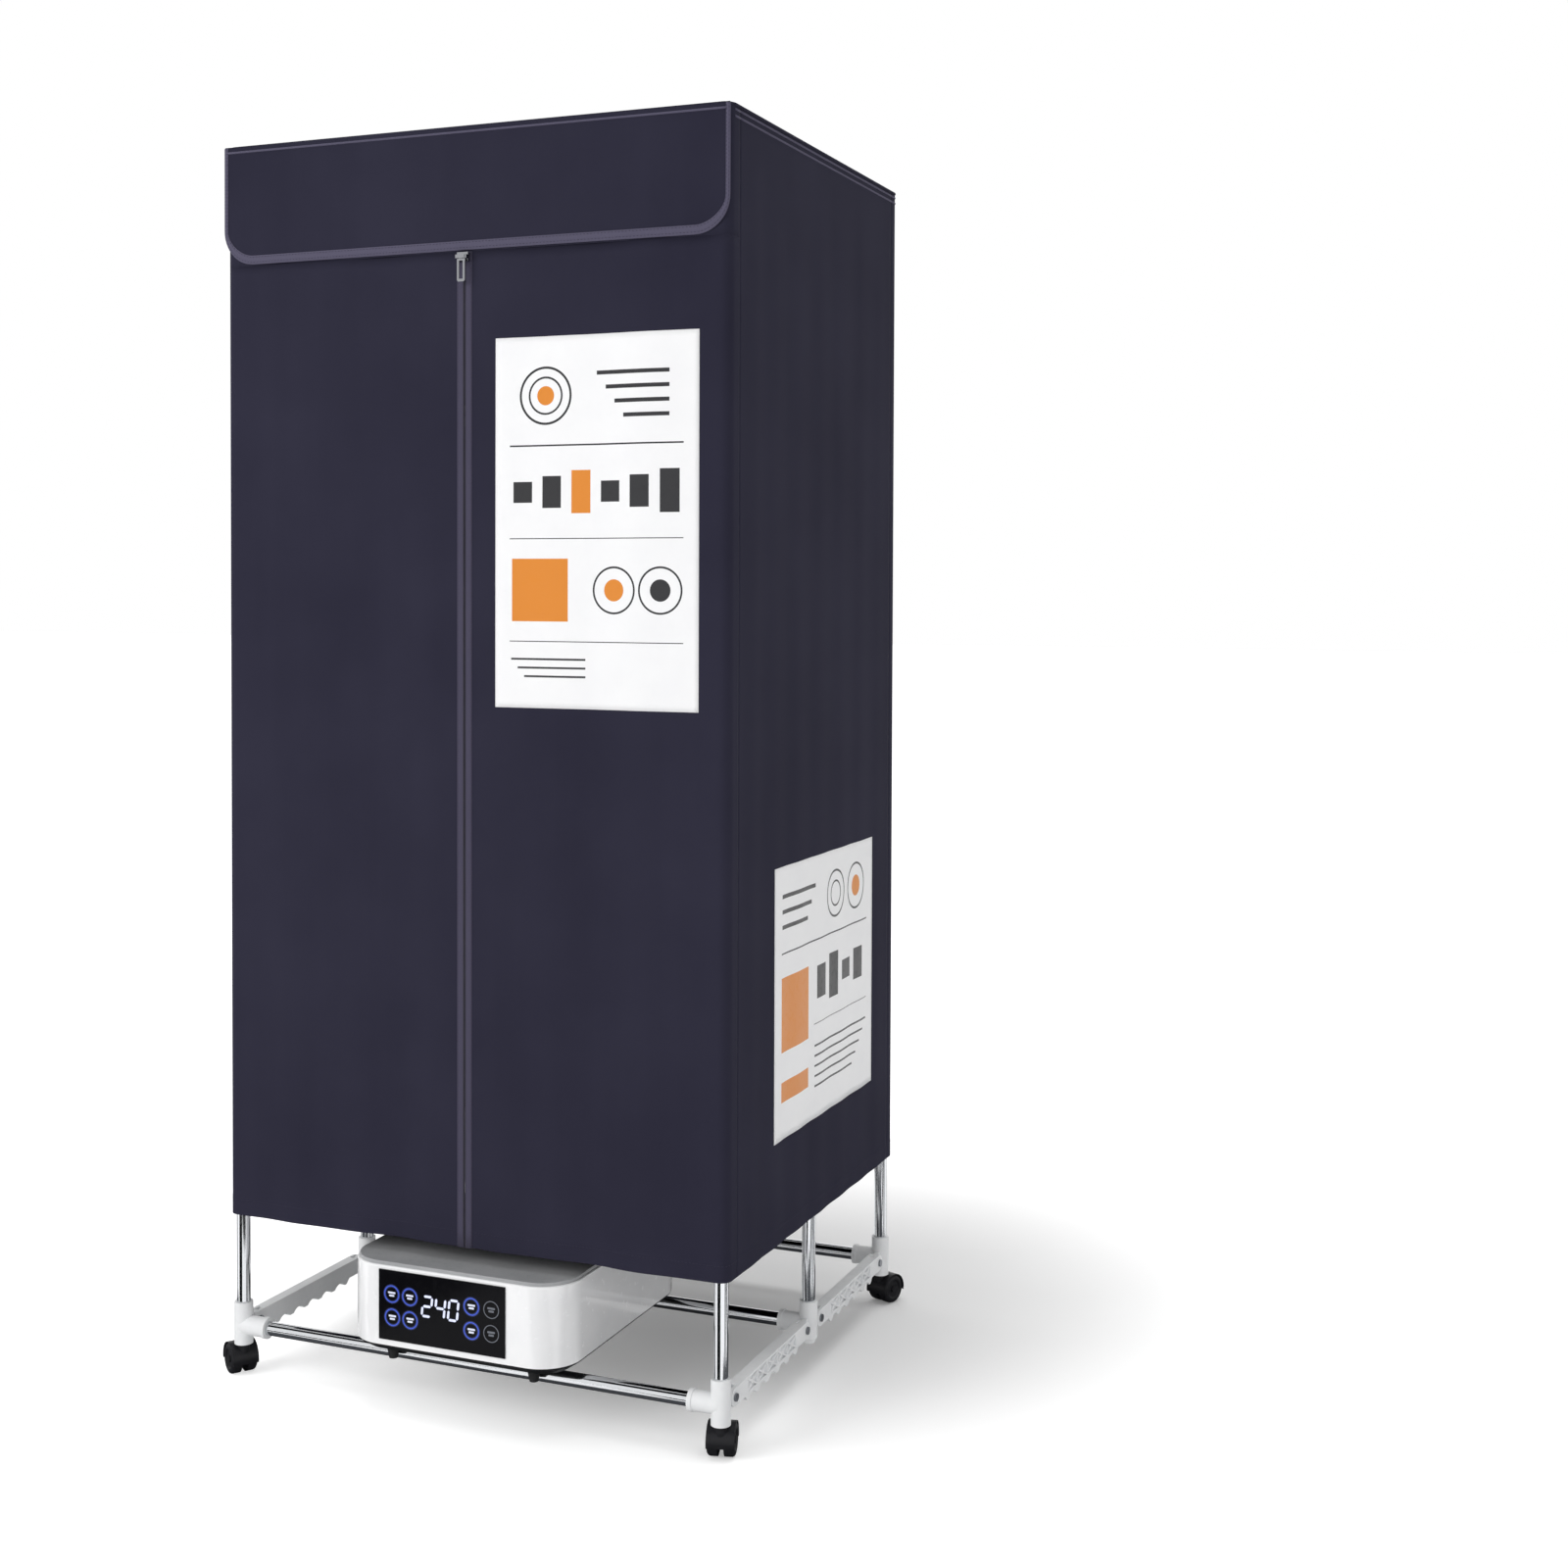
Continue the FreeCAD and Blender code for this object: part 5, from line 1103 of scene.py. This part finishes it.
class DRYCAB_OT_unit(Operator):
    """Finishes of the warm-air unit and of what is inside it"""
    bl_idname = "drycab.unit"
    bl_label = "Warm-air unit"

    def execute(self, context):
        look = context.scene.drycab_unit
        worn = scaled(look.trim, 2.0)
        dress(("unit_housing",),
              plastic_material("unit_white", look.shell, linear(0xF1F2F4),
                               gloss=0.16, grain=300.0, depth=0.000006, coat=0.6))
        dress(("unit_top_plate",),
              plastic_material("unit_grey", look.plate, linear(0x939597),
                               gloss=0.34, grain=1100.0, depth=0.00005))
        dress(("unit_base", "outlet_grille", "mains_inlet"),
              plastic_material("unit_black", look.trim, worn, gloss=0.38, specular=0.2))
        dress(("unit_feet",),
              plastic_material("foot_rubber", look.trim, worn, gloss=0.7, grain=600.0, depth=0.0001))
        dress(("control_display",),
              plastic_material("display_black", look.glass, linear(0x101014),
                               gloss=0.12, grain=200.0, depth=0.00001, specular=0.08))
        dress(("fan_duct", "fan_impeller"),
              plastic_material("duct_grey", linear(0x6D7074), linear(0x5F6266), gloss=0.5))
        dress(("heater",), metal_material("heater_metal", linear(0xA9A39B), haze=0.35, dullness=0.6))
        dress(("fan_motor",), metal_material("motor_metal", linear(0x7E8286), haze=0.4, dullness=0.5))
        return {"FINISHED"}


class DRYCAB_OT_display(Operator):
    """Lit keys and digits in the display window"""
    bl_idname = "drycab.display"
    bl_label = "Display marks"

    reading_place = (0.493, 0.436)
    slant = 0.1             # how far the digits lean, as a share of their height
    segment_gap = 0.0007    # between the ends of two segments
    halo_rise, ring_rise, digit_rise = 0.00006, 0.00012, 0.00014
    key_bars = ((0.0015, 0.0048, 0.0011), (-0.0018, 0.0034, 0.0011))    # height, half width, half height
    keys_on = ((0.105, 0.335), (0.25, 0.34), (0.11, 0.668), (0.253, 0.67), (0.74, 0.34), (0.74, 0.68))
    keys_off = ((0.895, 0.342), (0.895, 0.678))
    segments = {"0": "abcdef", "1": "bc", "2": "abged", "3": "abgcd", "4": "fgbc",
                "5": "afgcd", "6": "afgedc", "7": "abc", "8": "abcdefg", "9": "abcdfg"}

    def execute(self, context):
        look = context.scene.drycab_unit
        self.corner, self.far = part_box("control_display")
        self.face = self.corner.y
        blue = glow_material("display_glow", look.glow, 1.0)
        # The halos are painted glow: dim blue light plates round the lit keys and digits, where nothing is
        # lit.
        halo = glow_material("display_halo", scaled(look.glow, 0.16), 1.0)
        white = glow_material("display_digits", look.digits, 1.0)
        marks = glow_material("display_key_marks", look.digits, 0.85)
        # Keys that are off get a dim painted glow of their grey colour, standing in for light falling on
        # them.
        idle = glow_material("display_idle", look.idle, 0.8)
        r, stroke = look.key_radius, look.key_stroke
        self.add("display_key_halos", [self.ring(u, v, r + 0.0011, stroke + 0.0022)
                                       for u, v in self.keys_on], halo, self.halo_rise)
        self.add("display_keys", [self.ring(u, v, r, stroke) for u, v in self.keys_on],
                 blue, self.ring_rise)
        self.add("display_keys_idle", [self.ring(u, v, r, stroke * 0.8) for u, v in self.keys_off],
                 idle, self.ring_rise)
        for name, keys, material in (("display_key_marks", self.keys_on, marks),
                                     ("display_key_marks_idle", self.keys_off, idle)):
            bars = [self.bar(u, v, *sizes) for u, v in keys for sizes in self.key_bars]
            self.add(name, bars, material, self.ring_rise)
        reading = str(look.minutes)
        self.add("display_digit_halos", self.digits(reading, 0.0008), halo, self.halo_rise)
        self.add("display_digits", self.digits(reading, 0.0), white, self.digit_rise)
        return {"FINISHED"}

    def spot(self, u, v, x=0.0, z=0.0):
        """A place on the display, from shares across and down it and metres from there."""
        return (self.corner.x + u * (self.far.x - self.corner.x) + x,
                self.far.z - v * (self.far.z - self.corner.z) + z)

    def ring(self, u, v, radius, stroke, count=40):
        """An annulus as outer and inner loops of points."""
        return [[self.spot(u, v, rad * math.cos(math.tau * k / count), rad * math.sin(math.tau * k / count))
                 for k in range(count)]
                for rad in (radius, radius - stroke)]

    def bar(self, u, v, z, half_width, half_height):
        """A plain bar with cut corners."""
        cut = min(half_width, half_height) * 0.5
        outline = [(-half_width + cut, -half_height), (half_width - cut, -half_height),
                   (half_width, -half_height + cut), (half_width, half_height - cut),
                   (half_width - cut, half_height), (-half_width + cut, half_height),
                   (-half_width, half_height - cut), (-half_width, -half_height + cut)]
        return [[self.spot(u, v, a, z + b) for a, b in outline]]

    def digits(self, reading, grow):
        """Seven-segment digits, slightly slanted, each segment a six-sided bar."""
        tall = bpy.context.scene.drycab_unit.digit_height
        wide, stroke, pitch = tall * 0.52, tall * 0.125 + grow, tall * 0.76
        half = stroke / 2
        found = []
        ends = {"a": ((0, 2), (1, 2)), "b": ((1, 2), (1, 1)), "c": ((1, 1), (1, 0)), "d": ((0, 0), (1, 0)),
                "e": ((0, 1), (0, 0)), "f": ((0, 2), (0, 1)), "g": ((0, 1), (1, 1))}
        for place, character in enumerate(reading):
            left = (place - (len(reading) - 1) / 2) * pitch - wide / 2
            for segment in self.segments[character]:
                (x0, z0), (x1, z1) = [(left + a * wide, (b - 1) * tall / 2) for a, b in ends[segment]]
                run = Vector((x1 - x0, z1 - z0)).normalized()
                side = Vector((-run.y, run.x)) * half
                inset = run * (self.segment_gap - grow / 2)
                start, end = Vector((x0, z0)) + inset, Vector((x1, z1)) - inset
                corners = [start, start + run * half + side, end - run * half + side,
                           end, end - run * half - side, start + run * half - side]
                found.append([[self.spot(*self.reading_place, p.x + self.slant * p.y, p.y)
                               for p in corners]])
        return found

    def add(self, name, shapes, material, rise):
        """Thin raised plates: each shape is an outline, or an outer and an inner loop."""
        points, faces, measures = [], [], []
        for loops in shapes:
            first, size = len(points), len(loops[0])
            for loop in loops:
                for depth in (0.00005, -rise):
                    points += [(x, self.face + depth, z) for x, z in loop]
                    measures += list(loop)
            rings = [[first + layer * size + k for k in range(size)] for layer in range(2 * len(loops))]
            if len(loops) == 1:
                faces.append(tuple(rings[1]))
                pairs = [(rings[0], rings[1])]
            else:
                pairs = [(rings[0], rings[1]), (rings[1], rings[3]), (rings[3], rings[2])]
            faces += [(a[k], a[(k + 1) % size], b[(k + 1) % size], b[k])
                      for a, b in pairs for k in range(size)]
        piece = new_piece(name, points, faces, measures, material, False)
        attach(piece, "warm_air_unit")


class DRYCAB_OT_stage(Operator):
    """Floor, lamps, background and the camera at the photograph's place"""
    bl_idname = "drycab.stage"
    bl_label = "Stage"

    lamps = {"key": ((-2.2, -3.2, 2.0), 2.4), "fill": ((2.9, -1.7, 0.95), 1.8),
             "top": ((0.2, 0.2, 3.6), 2.6)}
    lamp_target = (0, 0, 0.7)
    floor_reach = 30.0
    shade_middle = (0.2, 0.25, 0.0)     # the floor keeps most of its shadow here
    shade_reach = (0.15, 1.0)
    shade_lift = (0.1, 0.8)             # how much white is laid over the shadow, near and far
    mirrored_white = 0.5                # how bright the floor is where metal and gloss show it
    flag_height, flag_near, flag_far, flag_half = 3.4, 1.0, 3.4, 6.0
    foot_x, foot_y, wedge_rise, wedge_near, wedge_far = 0.31, 0.26, 0.0015, 0.2, 0.9
    lens_length, sensor_width, lens_shift = 46.47, 36.0, -0.09375
    camera_place, camera_turn, camera_tilt, camera_roll = (1.1759, -2.2376, 0.9374), 0.3827, -0.0238, 0.0038

    def execute(self, context):
        look = context.scene.drycab_stage
        self.make_floor(look)
        self.make_world(look)
        for name, (place, size) in self.lamps.items():
            lamp = bpy.data.lights.new(name + "_lamp", "AREA")
            lamp.energy, lamp.size, lamp.shape = getattr(look, name), size, "SQUARE"
            holder = bpy.data.objects.new(name + "_lamp", lamp)
            holder.location = place
            aim = Vector(self.lamp_target) - Vector(place)
            holder.rotation_euler = aim.to_track_quat("-Z", "Y").to_euler()
            holder.visible_glossy = False
            context.scene.collection.objects.link(holder)
        self.make_flags()
        self.make_camera(context)
        context.scene.view_settings.view_transform = "Standard"
        return {"FINISHED"}

    def make_floor(self, look):
        """A plain floor that looks white and keeps the shadows."""
        material, tree, shader = new_material("stage_floor", Roughness=0.85, Specular_IOR_Level=0.1)
        place = add_node(tree, "ShaderNodeTexCoord").outputs["Object"]
        tone = spread_noise(tree, speckle(tree, place, 1.5), 0.2, 0.8)
        tree.links.new(mix_colour(tree, tone, rgba(look.floor), rgba(linear(0xF4F4F4))),
                       shader.inputs["Base Color"])
        away = add_node(tree, "ShaderNodeVectorMath", {0: place, 1: self.shade_middle},
                        operation="DISTANCE")
        level = add_node(tree, "ShaderNodeMapRange",
                         {"Value": away.outputs["Value"], "From Min": self.shade_reach[0],
                          "From Max": self.shade_reach[1], "To Min": self.shade_lift[0],
                          "To Max": self.shade_lift[1]},
                         interpolation_type="SMOOTHSTEP")
        rays = add_node(tree, "ShaderNodeLightPath").outputs
        lift = calc(tree, "MULTIPLY", rays["Is Camera Ray"], level.outputs[0])
        shiny = calc(tree, "MAXIMUM", rays["Is Glossy Ray"], rays["Is Transmission Ray"])
        mirrored = calc(tree, "MULTIPLY", shiny, self.mirrored_white)
        white = add_node(tree, "ShaderNodeEmission",
                         {"Color": (1, 1, 1, 1), "Strength": calc(tree, "ADD", lift, mirrored)})
        shown = add_node(tree, "ShaderNodeAddShader", {0: shader.outputs[0], 1: white.outputs[0]})
        tree.links.new(shown.outputs[0], tree.nodes["Material Output"].inputs["Surface"])
        reach = self.floor_reach
        corners = [(-reach, -reach, 0), (reach, -reach, 0), (reach, reach, 0), (-reach, reach, 0)]
        self.flat_piece("stage_floor", corners, material)

    def flat_piece(self, name, corners, material):
        """One flat face with four corners."""
        return new_piece(name, corners, [(0, 1, 2, 3)], [(0.0, 0.0)] * 4, material, False)

    def make_world(self, look):
        """White where it is seen or reflected, and a plain level of light."""
        world = bpy.data.worlds.new("studio")
        bpy.context.scene.world = world
        world.use_nodes = True
        tree = world.node_tree
        tree.nodes.clear()
        rays = add_node(tree, "ShaderNodeLightPath").outputs
        seen = calc(tree, "MAXIMUM", calc(tree, "MAXIMUM", rays["Is Camera Ray"], rays["Is Glossy Ray"]),
                    rays["Is Transmission Ray"])
        plain = add_node(tree, "ShaderNodeBackground", {0: (1, 1, 1, 1), 1: look.ambient}).outputs[0]
        white = add_node(tree, "ShaderNodeBackground", {0: (1, 1, 1, 1), 1: 1.0}).outputs[0]
        both = add_node(tree, "ShaderNodeMixShader", {0: seen, 1: plain, 2: white}).outputs[0]
        add_node(tree, "ShaderNodeOutputWorld", {0: both})

    def make_flags(self):
        """Dark cards that only metal and gloss show: overhead for level tubes, on the floor for posts."""
        black = self.card_material("stage_flag", 0x0A0A0C, 0x141417)
        grey = self.card_material("stage_flag_grey", 0x66686C, 0x5C5E62)
        for name, sign in (("front", -1), ("rear", 1)):
            strip = [(x, sign * y, self.flag_height)
                     for x, y in ((-self.flag_half, self.flag_near), (self.flag_half, self.flag_near),
                                  (self.flag_half, self.flag_far), (-self.flag_half, self.flag_far))]
            self.add_card(f"stage_flag_{name}", strip, black)
        front, rear, every = (-1,), (1,), (-1, 0, 1)
        wedges = ((-12, 50, black, front), (90, 20, grey, every), (168, 30, black, rear),
                  (270, 20, grey, every))
        for k, (middle, width, material, rows) in enumerate(wedges):
            angles = [math.radians(middle + half * width / 2) for half in (-1, 1)]
            first, last = [Vector((math.sin(angle), -math.cos(angle), 0)) for angle in angles]
            for n, (x, y) in enumerate((side * self.foot_x, self.foot_y * row)
                                       for side in (-1, 1) for row in rows):
                foot = Vector((x, y, self.wedge_rise))
                wedge = [foot + first * self.wedge_near, foot + first * self.wedge_far,
                         foot + last * self.wedge_far, foot + last * self.wedge_near]
                self.add_card(f"stage_wedge_{k}_{n}", wedge, material)

    def card_material(self, name, first, second):
        """Matt card, a little uneven."""
        material, tree, shader = new_material(name, Roughness=1.0, Specular_IOR_Level=0.0)
        place = add_node(tree, "ShaderNodeTexCoord").outputs["Object"]
        tree.links.new(mix_colour(tree, speckle(tree, place, 2.0), rgba(linear(first)),
                                  rgba(linear(second))),
                       shader.inputs["Base Color"])
        return material

    def add_card(self, name, corners, material):
        """A card with four corners that only reflections show."""
        card = self.flat_piece(name, corners, material)
        card.visible_camera = card.visible_diffuse = card.visible_shadow = card.visible_transmission = False

    def make_camera(self, context):
        """The photograph's viewpoint, found from the posts, the hem and the top corners."""
        lens = bpy.data.cameras.new("camera")
        lens.sensor_width = self.sensor_width
        lens.lens = self.lens_length
        lens.shift_y = self.lens_shift
        camera = bpy.data.objects.new("camera", lens)
        camera.matrix_world = (
            Matrix.Translation(self.camera_place) @ Matrix.Rotation(self.camera_turn, 4, "Z")
            @ Matrix.Rotation(math.pi / 2 + self.camera_tilt, 4, "X")
            @ Matrix.Rotation(self.camera_roll, 4, "Z"))
        context.scene.collection.objects.link(camera)
        context.scene.camera = camera


class DRYCAB_PT_sidebar(Panel):
    """The steps that dress the drying cabinet"""
    bl_idname = "DRYCAB_PT_sidebar"
    bl_label = "Drying Cabinet"
    bl_space_type = "VIEW_3D"
    bl_region_type = "UI"
    bl_category = "Drying Cabinet"

    def draw(self, context):
        for step in STEPS:
            self.layout.operator(step.bl_idname)
        for group in SETTINGS:
            settings = getattr(context.scene, group)
            box = self.layout.box()
            for name in settings.__annotations__:
                box.prop(settings, name)


SETTINGS = {"drycab_cloth": ClothSettings, "drycab_frame": FrameSettings, "drycab_print": PrintSettings,
            "drycab_unit": UnitSettings, "drycab_stage": StageSettings}
STEPS = (DRYCAB_OT_stage, DRYCAB_OT_frame, DRYCAB_OT_casters, DRYCAB_OT_front_cloth, DRYCAB_OT_header,
         DRYCAB_OT_side_cloth, DRYCAB_OT_rear_cloth, DRYCAB_OT_top_cloth, DRYCAB_OT_flap, DRYCAB_OT_zip,
         DRYCAB_OT_panels, DRYCAB_OT_unit, DRYCAB_OT_display)


def register():
    for name, group in SETTINGS.items():
        bpy.utils.register_class(group)
        setattr(bpy.types.Scene, name, PointerProperty(type=group))
    for step in STEPS:
        bpy.utils.register_class(step)
    bpy.utils.register_class(DRYCAB_PT_sidebar)


def unregister():
    bpy.utils.unregister_class(DRYCAB_PT_sidebar)
    for step in reversed(STEPS):
        bpy.utils.unregister_class(step)
    for name, group in SETTINGS.items():
        delattr(bpy.types.Scene, name)
        bpy.utils.unregister_class(group)


def main():
    """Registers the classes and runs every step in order."""
    register()
    for step in STEPS:
        group, name = step.bl_idname.split(".")
        if getattr(getattr(bpy.ops, group), name)() != {"FINISHED"}:
            raise RuntimeError(step.bl_idname + " didn't finish")


if __name__ == "__main__":
    main()
